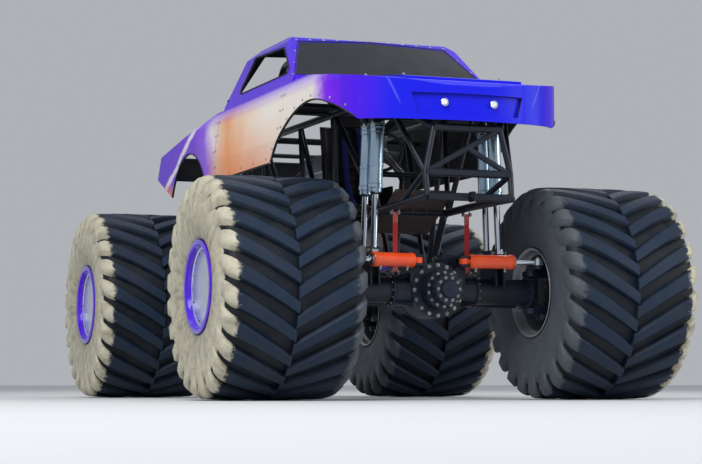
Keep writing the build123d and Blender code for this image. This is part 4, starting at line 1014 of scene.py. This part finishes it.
def bank_of(hand, parts):
    """One bank's ribbed valve cover on its rail, its header flanges and tips, plugs, and blower ribs."""
    tilt = shift(hand * 0.205, 0.335, ENGINE_Z + 0.400) @ turned(hand * 45, "Y")
    cover = [block("cover", (-0.062, -0.280, 0.0952), (0.062, 0.280, 0.158), 0.018)]
    cover += [block("rib", (-0.040, -0.246 + k * 0.078, 0.157), (0.040, -0.222 + k * 0.078, 0.163), 0.003)
              for k in range(7)]
    parts["covers"].append(place(join("cover", cover), tilt))
    rail = block("rail", (-0.072, -0.288, 0.0950), (0.072, 0.288, 0.101), 0.002)
    filler = lathe("filler", [(0.156, 0.0), (0.156, 0.030), (0.164, 0.030), (0.166, 0.026), (0.182, 0.026),
                              (0.185, 0.022), (0.185, 0.0)], 24)
    parts["bright"] += [place(rail, tilt), place(filler, tilt @ shift(0, hand * 0.200))]
    spots = [tilt @ shift(x, -0.270 + k * 0.108, 0.101) for k in range(6) for x in (-0.067, 0.067)]
    for y in PORTS:
        port = Vector((hand * 0.240, y, ENGINE_Z + 0.345))
        line = towards(port, (hand * 0.345, y, ENGINE_Z + 0.270)) @ shift(0, 0, 0.046)
        spots += [line @ m for m in ring_of(2, 0.037, 0.0122, 0.8)]
        plate = collar("plate", 0.0, 0.012, 0.0272, 0.046, sides=24)
        tip = lathe("tip", [(-0.030, 0.0272), (-0.028, 0.030), (-0.002, 0.030), (0.0, 0.0285),
                            (-0.001, 0.0225), (-0.060, 0.0225), (-0.030, 0.0272)], 24)
        last = Vector((hand * 0.290, y - 0.260, ENGINE_Z - 0.060))
        before = Vector((hand * 0.345, y - 0.040, ENGINE_Z + 0.060))
        parts["flanges"] += [place(plate, line), place(tip, facing(last, last - before))]
    parts["bolts"].append(bolts(0.010, spots))
    plug = lathe("plug", [(0.0, 0.028), (0.004, 0.028), (0.005, 0.025), (0.003, 0.022), (0.001, 0.0)], 24)
    rib = box_at("rib", (hand * 0.1765, 0.321, ENGINE_Z + 0.545), (0.0136, 0.446, 0.008))
    plugged = [facing((hand * 0.1798, 0.110 + 0.122 * k, ENGINE_Z + 0.225), (hand, 0, 0)) for k in range(5)]
    parts["cast"] += [repeat(plug, plugged), repeat(rib, [shift(0, 0, k * 0.0215) for k in range(9)])]


def blower_ends(parts):
    """The blower's two end plates with their bearing caps and bolts."""
    for y, way in ((0.0595, -1), (0.5805, 1)):
        plate = box_at("plate", (0, y + way * 0.006, BLOWER_Z), (0.352, 0.012, 0.238), 0.004)
        cap = lathe("cap", [(0.0, 0.0), (0.0, 0.052), (0.010, 0.052), (0.014, 0.048), (0.014, 0.0)], 32)
        caps = [facing((x, y + way * 0.0118, BLOWER_Z), (0, way, 0)) for x in (-0.075, 0.075)]
        parts["bright"] += [plate, repeat(cap, caps)]
        spots = [facing((x, y + way * 0.0122, ENGINE_Z + z), (0, way, 0))
                 for x in (-0.160, -0.080, 0.0, 0.080, 0.160) for z in (0.530, 0.740)]
        parts["bolts"].append(bolts(0.011, spots))


def blower_drive(parts):
    """Two flanged pulleys with their hubs, and the belt round them."""
    for z, radius, near, far in PULLEYS:
        middle = facing((0, 0, ENGINE_Z + z), (0, 1, 0))
        rim = collar("rim", 0.0, 0.006, radius - 0.02, radius + 0.016, 0.001, 0.0015, 48)
        hub = lathe("hub", [(0.0, 0.0), (0.0, radius * 0.86), (0.003, radius * 0.86), (0.004, radius * 0.80),
                            (0.001, radius * 0.74), (0.001, radius * 0.40), (0.006, radius * 0.36),
                            (0.012, radius * 0.33), (0.012, 0.0)])
        parts["bright"] += [repeat(rim, [middle @ shift(0, 0, y) for y in (near, far - 0.006)]),
                            place(hub, middle @ shift(0, 0, far - 0.001))]
        parts["bolts"].append(bolts(0.010, [middle @ m for m in ring_of(5, radius * 0.24, far + 0.011)]))
    parts["dark"].append(belt(ENGINE_Z + 0.190, 0.1103, ENGINE_Z + 0.640, 0.0953, 0.648, 0.684, 0.009))


def injector_hat(parts):
    """Three throats with their blades and shafts, and the hat's bolts."""
    throat = lathe("throat", [(-0.006, 0.0455), (-0.006, 0.0475), (0.010, 0.0475), (0.012, 0.045),
                              (0.010, 0.0425), (-0.0005, 0.0425), (-0.0005, 0.0405), (-0.006, 0.0455)], 32)
    blade = lathe("blade", [(0.0005, 0.0), (0.0005, 0.0424), (0.0015, 0.0424), (0.0035, 0.036),
                            (0.0035, 0.0)], 32)
    shaft = lathe("shaft", [(-0.043, 0.0032), (0.043, 0.0032)], 12)
    across = (-0.106, 0.0, 0.106)
    lines = [facing((x, 0.0695, THROAT_Z), (0, -1, 0)) for x in across]
    parts["bright"] += [repeat(throat, lines),
                        repeat(shaft, [shift(x, 0.0655, THROAT_Z) @ turned(90, "Y") for x in across])]
    parts["dark"].append(repeat(blade, lines))
    parts["bolts"].append(bolts(0.010, [shift(x * 0.98, y, ENGINE_Z + 0.9502) for y in (0.085, 0.565)
                                        for x in (-0.156, -0.052, 0.052, 0.156)]))


def fit_engine():
    """Ribbed valve covers, header flanges, blower ribs and end plates, drive belt and injector hat."""
    parts = {kind: [] for kind in ("covers", "bright", "cast", "flanges", "bolts", "dark")}
    for hand in HANDS:
        bank_of(hand, parts)
    parts["bolts"].append(bolts(0.010, [shift(x, 0.10 + 0.10 * k, ENGINE_Z + 0.1385) @ turned(180, "X")
                                        for x in (-0.166, 0.166) for k in range(6)]))
    blower_ends(parts)
    blower_drive(parts)
    injector_hat(parts)
    fit("valve_covers", parts["covers"], POLISHED, "polished_alloy")
    fit("engine_brightwork", parts["bright"], POLISHED, "polished_alloy")
    fit("engine_castings", parts["cast"], POLISHED, "polished_alloy")
    fit("header_flanges", parts["flanges"], ORANGE, "orange_paint")
    fit("engine_bolts", parts["bolts"], ZINC, "chrome_rod")
    fit("blower_belt_and_blades", parts["dark"], BOOT, "matte_black")


GEARBOX_Z = 1.305
CASE_BOLTS = ((-0.13, 1.01), (0.0, 1.005), (0.13, 1.01), (-0.13, 1.12), (0.13, 1.12), (-0.13, 1.225),
              (0.13, 1.225))


def fit_drive_line():
    """Gearbox flanges and ribs, case bolts, and the joints at both ends of each propeller shaft."""
    cast, fixings = [], []
    for y, radius in ((0.003, 0.168), (-0.300, 0.152), (-0.556, 0.150)):
        ring = collar("ring", 0.0, 0.022, 0.138, radius, sides=48)
        cast.append(place(ring, facing((0, y, GEARBOX_Z), (0, 1, 0))))
        line = facing((0, y, GEARBOX_Z), (0, -1, 0))
        fixings.append(bolts(0.013, [line @ m for m in ring_of(12, radius - 0.011, 0.0, 0.26)]))
    rib = block("rib", (0.137, -0.530, -0.004), (0.146, -0.02, 0.004), 0.002)
    place(rib, turned(180, "Z") @ shift(0, 0.55))
    cast.append(repeat(rib, [shift(0, 0, GEARBOX_Z) @ turned(-10 + k * 22.2, "Y") for k in range(10)]))
    for y, way in ((-0.500, -1), (0.025, 1)):
        fixings.append(bolts(0.014, [facing((x, y, z), (0, way, 0)) for x, z in CASE_BOLTS]))
    yoke = lathe("yoke", [(0.042, 0.034), (0.042, 0.066), (0.054, 0.066), (0.056, 0.046), (0.076, 0.040),
                          (0.092, 0.052), (0.127, 0.052), (0.138, 0.042), (0.152, 0.042), (0.156, 0.034)], 32)
    cup = lathe("cup", [(-0.060, 0.010), (-0.060, 0.018), (-0.058, 0.020), (0.058, 0.020), (0.060, 0.018),
                        (0.060, 0.010)], 20)
    cross = repeat(cup, [shift(0, 0, 0.109) @ turned(turn, "Z") @ turned(90, "Y") for turn in (0, 90)])
    lines = []
    for nose_y, case_y, way in ((FRONT_AXLE + 0.165, -0.500, 1), (REAR_AXLE - 0.165, 0.025, -1)):
        nose, case = (0, nose_y - way * 0.040, AXLE_HIGH + 0.054), (0, case_y + way * 0.040, 1.120)
        lines += [towards(nose, case), towards(case, nose)]
    fixings.append(bolts(0.012, [line @ m for line in lines for m in ring_of(4, 0.056, 0.0542, 0.78)]))
    fit("gearbox_ribs", cast, CAST_ALLOY, "cast_alloy")
    fit("gearbox_bolts", fixings, ZINC, "chrome_rod")
    fit("shaft_joints", [repeat(join("joint", [yoke, cross]), lines)], SHAFT_STEEL, "shaft_steel")


FUEL_STRAPS = (1.330, 1.570)
FILLER = shift(0, 1.450)


def fit_fuel_cell():
    """A moulded tank with rounded edges and a bolted filler plate, held by two steel straps."""
    tank = block("tank", (-0.239, 1.236, 1.5255), (0.239, 1.664, 1.819), 0.03)
    bevel(tank, 0.004, angle_limit=math.radians(60))
    fit("fuel_cell_detail", [tank], FUEL_BLACK, "fuel_cell_black", angle=50, replaces="fuel_cell")
    bands = []
    for y in FUEL_STRAPS:
        bands += [box_at("band", (hand * 0.2415, y, 1.671), (0.003, 0.038, 0.282), 0.001) for hand in HANDS]
        bands.append(box_at("band", (0, y, 1.8208), (0.464, 0.038, 0.003), 0.001))
    plate = lathe("plate", [(1.8188, 0.0), (1.8188, 0.086), (1.821, 0.088), (1.824, 0.088), (1.826, 0.086),
                            (1.826, 0.040), (1.828, 0.036), (1.842, 0.036), (1.845, 0.033), (1.845, 0.0)])
    metal = [place(plate, FILLER), bolts(0.008, [FILLER @ m for m in ring_of(12, 0.074, 1.826)]),
             bolts(0.012, [shift(x, y, 1.822) for y in FUEL_STRAPS for x in (-0.200, 0.200)])]
    fit("fuel_cell_straps", bands, ZINC, "chrome_rod")
    fit("fuel_cell_filler", metal, POLISHED, "polished_alloy")


# Seat, steering wheel and small fixings

def cushion(wide, long, thick, grooves=(), crown=0.0):
    """A padded form about the origin, lying along Y, with sewn grooves across it and a rounded edge."""
    stations, around = 44, 28
    rings = []
    for k in range(stations + 1):
        v = -1 + 2 * k / stations
        end = max(0.0, 1 - abs(v) ** 7) ** 0.33
        dip = sum(math.exp(-((v - groove) / 0.022) ** 2) for groove in grooves)
        half_w = wide / 2 * (0.93 + 0.07 * end) - 0.002 * dip
        half_h = thick / 2 * (0.18 + 0.82 * end)
        ring = []
        for m in range(around):
            turn = 2 * math.pi * m / around
            c, s = math.cos(turn), math.sin(turn)
            x = half_w * math.copysign(abs(c) ** 0.38, c)
            z = half_h * math.copysign(abs(s) ** 0.62, s)
            if s > 0:
                z = z * (1 - 0.26 * dip * (1 - (x / half_w) ** 6)) + crown * (x / half_w) ** 2
            ring.append((x, v * long / 2, z))
        rings.append(ring)
    return loft("cushion", rings)


def ribbon(points, across, wide=0.050, thick=0.003):
    """A flat belt along points, its width along one direction."""
    rings = []
    for k, point in enumerate(points):
        ahead = Vector(points[min(k + 1, len(points) - 1)]) - Vector(points[max(k - 1, 0)])
        ahead.normalize()
        side = Vector(across) - ahead * Vector(across).dot(ahead)
        side.normalize()
        up = side.cross(ahead)
        rings.append([Vector(point) + side * (a * wide / 2) + up * (b * thick / 2)
                      for a, b in web_edge(0.95)])
    return loft("ribbon", rings)


SEAT_BACK = shift(0, -0.200, 1.960) @ turned(-10, "X")
HEAD_REST = shift(0, -0.130, 2.400) @ turned(-10, "X")
UPRIGHT = turned(90, "X")


def fit_seat():
    """Padded cushion, back, bolsters and head rest in a sheet-metal shell."""
    pads = [
        ("cushion_pad", cushion(0.436, 0.500, 0.072, (-0.5, 0.0, 0.5), 0.012), shift(0, -0.450, 1.563), 0.75),
        ("back_pad", cushion(0.470, 0.720, 0.078, (-0.62, -0.31, 0.0, 0.31, 0.62), 0.008),
         SEAT_BACK @ UPRIGHT @ shift(0, 0, 0.004), 0.75),
        ("head_pad", cushion(0.286, 0.170, 0.082, (), 0.004), HEAD_REST @ UPRIGHT @ shift(0, 0, 0.002), 0.75),
    ]
    for side, hand in (("left", 1), ("right", -1)):
        at = shift(hand * 0.243, -0.360, 1.682) @ turned(hand * 90, "Y")
        pads.append((f"bolster_{side}", cushion(0.225, 0.385, 0.026), at, 0.85))
    for name, form, at, share in pads:
        fit(f"seat_{name}", [place(form, at)], VINYL, "seat_vinyl", angle=50)
    shell = [block("pan", (-0.255, -0.695, 1.503), (0.255, -0.185, 1.528)),
             place(block("plate", (-0.250, 0.030, -0.378), (0.250, 0.042, 0.378), 0.004), SEAT_BACK),
             place(block("rest", (-0.150, 0.032, -0.088), (0.150, 0.044, 0.088), 0.004), HEAD_REST)]
    for hand in HANDS:
        side = slab("side", [(-0.560, 1.560), (-0.560, 1.640), (-0.330, 1.800), (-0.165, 1.800),
                             (-0.165, 1.560)], -0.0025, 0.0025, 0.001)
        bracket = box_at("bracket", (hand * 0.120, 0.0425, 0), (0.024, 0.005, 0.744))
        neck = box_at("neck", (hand * 0.090, 0.04235, 0), (0.020, 0.0047, 0.160))
        # the side's outline lies in the plane across the truck
        on_edge = Matrix(((0, 0, 1, hand * 0.2590), (1, 0, 0, 0), (0, 1, 0, 0), (0, 0, 0, 1)))
        shell += [place(side, on_edge), place(bracket, SEAT_BACK), place(neck, HEAD_REST)]
    fit("seat_shell", shell, MATT_BLACK, "matte_black", replaces="seat")


# Paths of the left belts and of the one in the middle
SHOULDER_BELT = ((0.062, -0.118, 2.335), (0.064, -0.160, 2.322), (0.066, -0.205, 2.296), (0.070, -0.236, 2.200),
                 (0.074, -0.268, 2.020), (0.072, -0.304, 1.830), (0.060, -0.346, 1.700), (0.038, -0.400, 1.632),
                 (0.020, -0.440, 1.617))
LAP_BELT = ((0.222, -0.270, 1.640), (0.190, -0.300, 1.632), (0.130, -0.360, 1.622), (0.070, -0.420, 1.618),
            (0.020, -0.450, 1.618))
CROTCH_BELT = ((0, -0.470, 1.616), (0, -0.520, 1.612), (0, -0.580, 1.610), (0, -0.640, 1.606),
               (0, -0.690, 1.585))


def fit_harness():
    """A five-point harness: shoulder, lap and crotch belts, and the lock where they meet."""
    belts = []
    for hand in HANDS:
        shoulder, lap = [[(hand * x, y, z) for x, y, z in path] for path in (SHOULDER_BELT, LAP_BELT)]
        belts += [ribbon(shoulder, (1, 0, 0)), ribbon(lap, (0, -0.8, 0.2))]
    belts.append(ribbon(CROTCH_BELT, (1, 0, 0), 0.048))
    fit("harness_belts", belts, BELT, "strap_web", angle=50)
    lock = lathe("lock", [(1.616, 0.0), (1.616, 0.036), (1.620, 0.038), (1.630, 0.036), (1.634, 0.026),
                          (1.640, 0.024), (1.642, 0.018), (1.642, 0.0)], 32)
    lever = block("lever", (-0.006, -0.500, 1.637), (0.006, -0.440, 1.644), 0.002)
    fit("harness_lock", [place(lock, shift(0, -0.452)), lever], ZINC, "chrome_rod")


STEERING_WHEEL = shift(0, -0.960, 2.020) @ turned(-62, "X")
GRIP_RADIUS, GRIP_THICK = 0.160, 0.0148


def fit_steering_wheel():
    """A round grip on four flat spokes, with its quick-release hub and the column with two clamps."""
    turns = [2 * math.pi * k / 12 for k in range(12)]
    section = [(GRIP_THICK * math.sin(turn), GRIP_RADIUS + GRIP_THICK * math.cos(turn)) for turn in turns]
    grip = lathe("grip", [*section, section[0]], 72)
    fit("steering_wheel_grip", [place(grip, STEERING_WHEEL)], VINYL, "seat_vinyl", angle=60,
        replaces="steering_wheel")
    spoke = slab("spoke", [(0.036, -0.014), (0.150, -0.010), (0.150, 0.010), (0.036, 0.014)],
                 -0.0025, 0.0025, 0.001)
    hub = lathe("hub", [(-0.060, 0.022), (-0.060, 0.030), (-0.018, 0.030), (-0.016, 0.038), (-0.004, 0.040),
                        (0.006, 0.040), (0.008, 0.034), (0.014, 0.030), (0.016, 0.0)])
    column = lathe("column", [(-0.508, 0.0), (-0.508, 0.0195), (-0.060, 0.0195), (-0.060, 0.0)], 32)
    clamp = lathe("clamp", [(0.0, 0.0195), (0.0, 0.026), (0.018, 0.026), (0.018, 0.0195), (0.0, 0.0195)], 32)
    metal = [repeat(spoke, [turned(90 * k, "Z") for k in range(4)]), hub, column,
             bolts(0.006, ring_of(6, 0.035, 0.0065)), repeat(clamp, [shift(0, 0, z) for z in (-0.150, -0.420)])]
    fit("steering_column", [place(join("column", metal), STEERING_WHEEL)], ZINC, "chrome_rod")


CROSSBARS = [
    # half length, y, z, radius, as in the part
    (0.340, -2.690, 1.500, 0.030), (0.345, -2.660, 1.680, 0.030), (0.270, -2.640, 2.020, 0.030),
    (0.480, -2.180, 2.300, 0.022), (0.300, -1.560, 1.480, 0.030), (0.480, -1.700, 2.300, 0.022),
    (0.480, -1.100, 2.300, 0.030), (0.400, -0.900, 0.960, 0.030), (0.400, -0.200, 0.960, 0.030),
    (0.400, 0.588, 0.960, 0.030), (0.480, 0.720, 2.300, 0.030), (0.300, 1.260, 1.495, 0.030),
    (0.300, 1.640, 1.495, 0.030), (0.480, 1.860, 2.300, 0.022), (0.300, 2.330, 1.520, 0.030),
    (0.300, 2.490, 2.040, 0.030), (0.470, -0.600, 2.860, 0.030), (0.450, 0.250, 2.900, 0.030),
]


def fit_frame():
    """Weld beads where the crossbars meet the rails, and screws on the floor sheets and the belly plate."""
    beads = []
    for half, y, z, radius in CROSSBARS:
        profile = [(-0.004, -0.001), (-0.0035, 0.0028), (0.0, 0.0042), (0.0035, 0.0028), (0.004, -0.001),
                   (-0.004, -0.001)]
        bead = lathe("bead", [(along, radius + out) for along, out in profile], 24)
        beads.append(repeat(bead, [facing((hand * (half - 0.033), y, z), (hand, 0, 0)) for hand in HANDS]))
    fit("frame_welds", beads, FRAME_COAT, "frame_black", angle=60)
    floor = shift(0, -1.560, 1.480) @ turned(-28, "X")
    spots = [floor @ shift(x, sheet + y, side * 0.0025) @ turned(90 - side * 90, "X")
             for sheet in (-0.168, 0.168) for x in (-0.235, -0.118, 0.0, 0.118, 0.235)
             for y in (-0.135, 0.135) for side in HANDS]
    below = [shift(x, -0.830 + 0.168 * k, 0.922) @ turned(180, "X")
             for x in (-0.345, -0.115, 0.115, 0.345) for k in range(9)]
    fit("sheet_screws", [bolts(0.009, spots), bolts(0.013, below)], ZINC, "chrome_rod")


# Body fittings

PANELS = ("body_front", "body_cab", "body_bed")
# Wheel arches: centre's y and z, opening's radius, the trim's first and last degree, and those of the
# fasteners with their step
ARCHES = (((-1.816, 1.175), 1.117, (40.8, 124.0), (46.0, 118.0, 9.0)),
          ((1.560, 1.500), 0.741, (32.8, 147.2), (38.0, 142.0, 11.0)))


def on_panel(node, start, toward):
    """Where a line first meets a panel of the body, and the panel's direction there; None if it misses."""
    obj = nodes[node]
    back = obj.matrix_world.inverted()
    way = (back.to_3x3() @ Vector(toward)).normalized()
    found, where, normal, _ = obj.ray_cast(back @ Vector(start), way)
    if not found:
        return None
    return obj.matrix_world @ where, (obj.matrix_world.to_3x3() @ normal).normalized()


def on_side(hand, spots):
    """The body's outer side at each (y, z), whichever panel has it."""
    outer = []
    for y, z in spots:
        hits = [on_panel(name, (hand * 1.5, y, z), (-hand, 0, 0)) for name in PANELS]
        hits = [hit for hit in hits if hit and hand * hit[0].x > 0.55]
        outer.append(max(hits, key=lambda hit: hand * hit[0].x) if hits else None)
    return outer


def on_cab(hand, spots, start=-3.0, way=1):
    """The cab's front at each (x, z), or its back as seen from behind."""
    return [on_panel("body_cab", (hand * x, start, z), (0, way, 0)) for x, z in spots]


def on_top(name, spots):
    """A panel from above at each (x, y)."""
    return [on_panel(name, (x, y, 3.3), (0, 0, -1)) for x, y in spots]


def between(points, step):
    """Points along straight runs, no further apart than step."""
    line = [Vector(points[0])]
    for a, b in zip(points, points[1:]):
        a, b = Vector(a), Vector(b)
        count = max(1, round((b - a).length / step))
        line += [a.lerp(b, k / count) for k in range(1, count + 1)]
    return line


def rounded(corners, radius, out):
    """A closed outline with rounded corners, drawn a little outside the opening that it goes round."""
    line = []
    for k, corner in enumerate(corners):
        here = Vector(corner)
        sides = [(here - Vector(corners[k - 1])).normalized(),
                 (Vector(corners[(k + 1) % len(corners)]) - here).normalized()]
        first, last = [Vector((-side.y, side.x)) for side in sides]
        centre = here - (first + last) * (radius / (1 + first.dot(last)))
        line += [centre + first.slerp(last, j / 4) * (radius + out) for j in range(5)]
    return line + line[:1]


def arc(centre, radius, start, stop, step=3.0):
    """Points (y, z) on an arc, a few degrees apart."""
    count = round((stop - start) / step)
    turns = [math.radians(start + (stop - start) * k / count) for k in range(count + 1)]
    return [(centre[0] + radius * math.cos(turn), centre[1] + radius * math.sin(turn)) for turn in turns]


def trims_along(hits, radius=0.006):
    """Edge trim just off the panels, along each unbroken run of places."""
    runs = [[]]
    for hit in hits:
        if hit:
            runs[-1].append(hit[0] + hit[1] * 0.001)
        else:
            runs.append([])
    return [pipe("trim", run, radius) for run in runs if len(run) > 2]


def fit_body():
    """Edge trims round the windows, arches and rocker, quarter-turn fasteners at the seams, and hood pins."""
    window = rounded([(-1.010, 2.640), (-0.660, 2.890), (0.120, 2.925), (0.330, 2.640)], 0.025, 0.007)
    screen = between([(0.0, 2.985), (0.656, 2.950), (0.832, 2.602), (0.0, 2.602)], 0.05)
    back_window = between([(0.0, 3.008), (0.606, 2.988), (0.768, 2.634), (0.0, 2.634)], 0.05)
    trims, held, pinned = [], [], []
    for hand in HANDS:
        trims += trims_along(on_side(hand, between(window, 0.05)))
        trims += trims_along(on_side(hand, between([(-0.955, 1.896), (0.925, 1.896)], 0.06)))
        for centre, radius, edge, fixed in ARCHES:
            trims += trims_along(on_side(hand, arc(centre, radius, *edge)))
            held += on_side(hand, arc(centre, radius + 0.035, *fixed))
        trims += trims_along(on_cab(hand, screen), 0.005)
        trims += trims_along(on_cab(hand, back_window, 2.0, -1), 0.005)
        held += on_side(hand, [(-0.86 + 0.34 * k, 1.935) for k in range(6)])
        held += on_side(hand, [(y, z) for y in (-1.192, -1.120, 0.584, 0.656)
                               for z in (2.02, 2.16, 2.30, 2.42)])
        held += on_side(hand, between([(-0.640, 2.925), (0.120, 2.960)], 0.19))
        held += on_cab(hand, between([(0.05, 2.998), (0.664, 2.968), (0.845, 2.605)], 0.13))
        for name, y in (("body_front", -1.196), ("body_bed", 0.655)):
            held += on_top(name, [(hand * x, y) for x in (0.08, 0.24, 0.40, 0.56, 0.72, 0.84)])
        pinned += on_top("body_front", [(hand * 0.395, -2.360), (hand * 0.300, -1.330)])
    button = lathe("button", [(-0.002, 0.01105), (0.0008, 0.01105), (0.0014, 0.00935), (0.0022, 0.0085),
                              (0.0040, 0.0068), (0.0046, 0.0)], 16)
    slot = block("slot", (-0.00595, -0.0008, 0.0040), (0.00595, 0.0008, 0.0050), 0)
    plate = lathe("plate", [(-0.001, 0.0), (-0.001, 0.030), (0.002, 0.029), (0.0025, 0.026), (0.002, 0.010),
                            (0.002, 0.0055), (0.019, 0.0055), (0.022, 0.003), (0.022, 0.0)], 32)
    turns = [math.radians(20 * k - 30) for k in range(13)]
    loop = pipe("loop", [(0.009 * math.cos(turn), 0.0, 0.012 + 0.009 * math.sin(turn)) for turn in turns],
                0.0013, "NURBS")
    fit("body_edge_trims", trims, BOOT, "matte_black", angle=60)
    buttons = repeat(join("button", [button, slot]), [facing(*hit) for hit in held if hit])
    fit("body_fasteners", [buttons], ZINC, "chrome_rod")
    pins = repeat(join("pin", [plate, loop]), [facing(*hit) for hit in pinned])
    fit("hood_pins", [pins], POLISHED, "polished_alloy")


# Floor, light, camera

def show_place():
    """A pale floor, three soft lamps, and a camera near the floor at the photo's bearing."""
    bpy.ops.object.select_all(action="DESELECT")
    bpy.ops.mesh.primitive_plane_add(size=400, location=(0, 0, -0.001))
    ground = bpy.context.object
    ground.name = "studio_floor"
    dress(ground, surface(paint_of("pale studio floor"), {"Base Color": "d9dadc", "Roughness": 0.9}))
    world = bpy.data.worlds.new("studio")
    bpy.context.scene.world = world
    world.use_nodes = True
    world.node_tree.nodes["Background"].inputs["Color"].default_value = srgb("e4e8ee")
    world.node_tree.nodes["Background"].inputs["Strength"].default_value = 0.55
    for name, at, power in (("key", (-9, -12, 13), 2100), ("fill", (12, -9, 6), 550),
                            ("back", (7, 10, 15), 420)):
        lamp = bpy.data.lights.new(name, "AREA")
        lamp.size = 8
        lamp.energy = power
        obj = bpy.data.objects.new(name, lamp)
        bpy.context.collection.objects.link(obj)
        obj.location = at
        obj.rotation_euler = (Vector((0, 0, 1.3)) - Vector(at)).to_track_quat("-Z", "Y").to_euler()
    data = bpy.data.cameras.new("camera")
    cam = bpy.data.objects.new("camera", data)
    bpy.context.collection.objects.link(cam)
    bearing, far, half_view = math.radians(-20.7), 17.0, math.radians(10.0)
    aim = Vector((0.0, -0.2, 1.42))
    cam.location = (aim.x + far * math.sin(bearing), aim.y - far * math.cos(bearing), 0.12)
    cam.rotation_euler = (aim - cam.location).to_track_quat("-Z", "Y").to_euler()
    data.sensor_width = 36
    data.lens = 36 / 2 / math.tan(half_view)
    bpy.context.scene.camera = cam
    bpy.context.scene.view_settings.view_transform = "Standard"


fit_wheels()
fit_shocks()
fit_axles()
fit_cylinders()
fit_links()
fit_tie_rods()
fit_knuckles()
fit_straps()
fit_lamps()
fit_engine()
fit_drive_line()
fit_fuel_cell()
fit_seat()
fit_harness()
fit_steering_wheel()
fit_frame()
fit_body()
show_place()
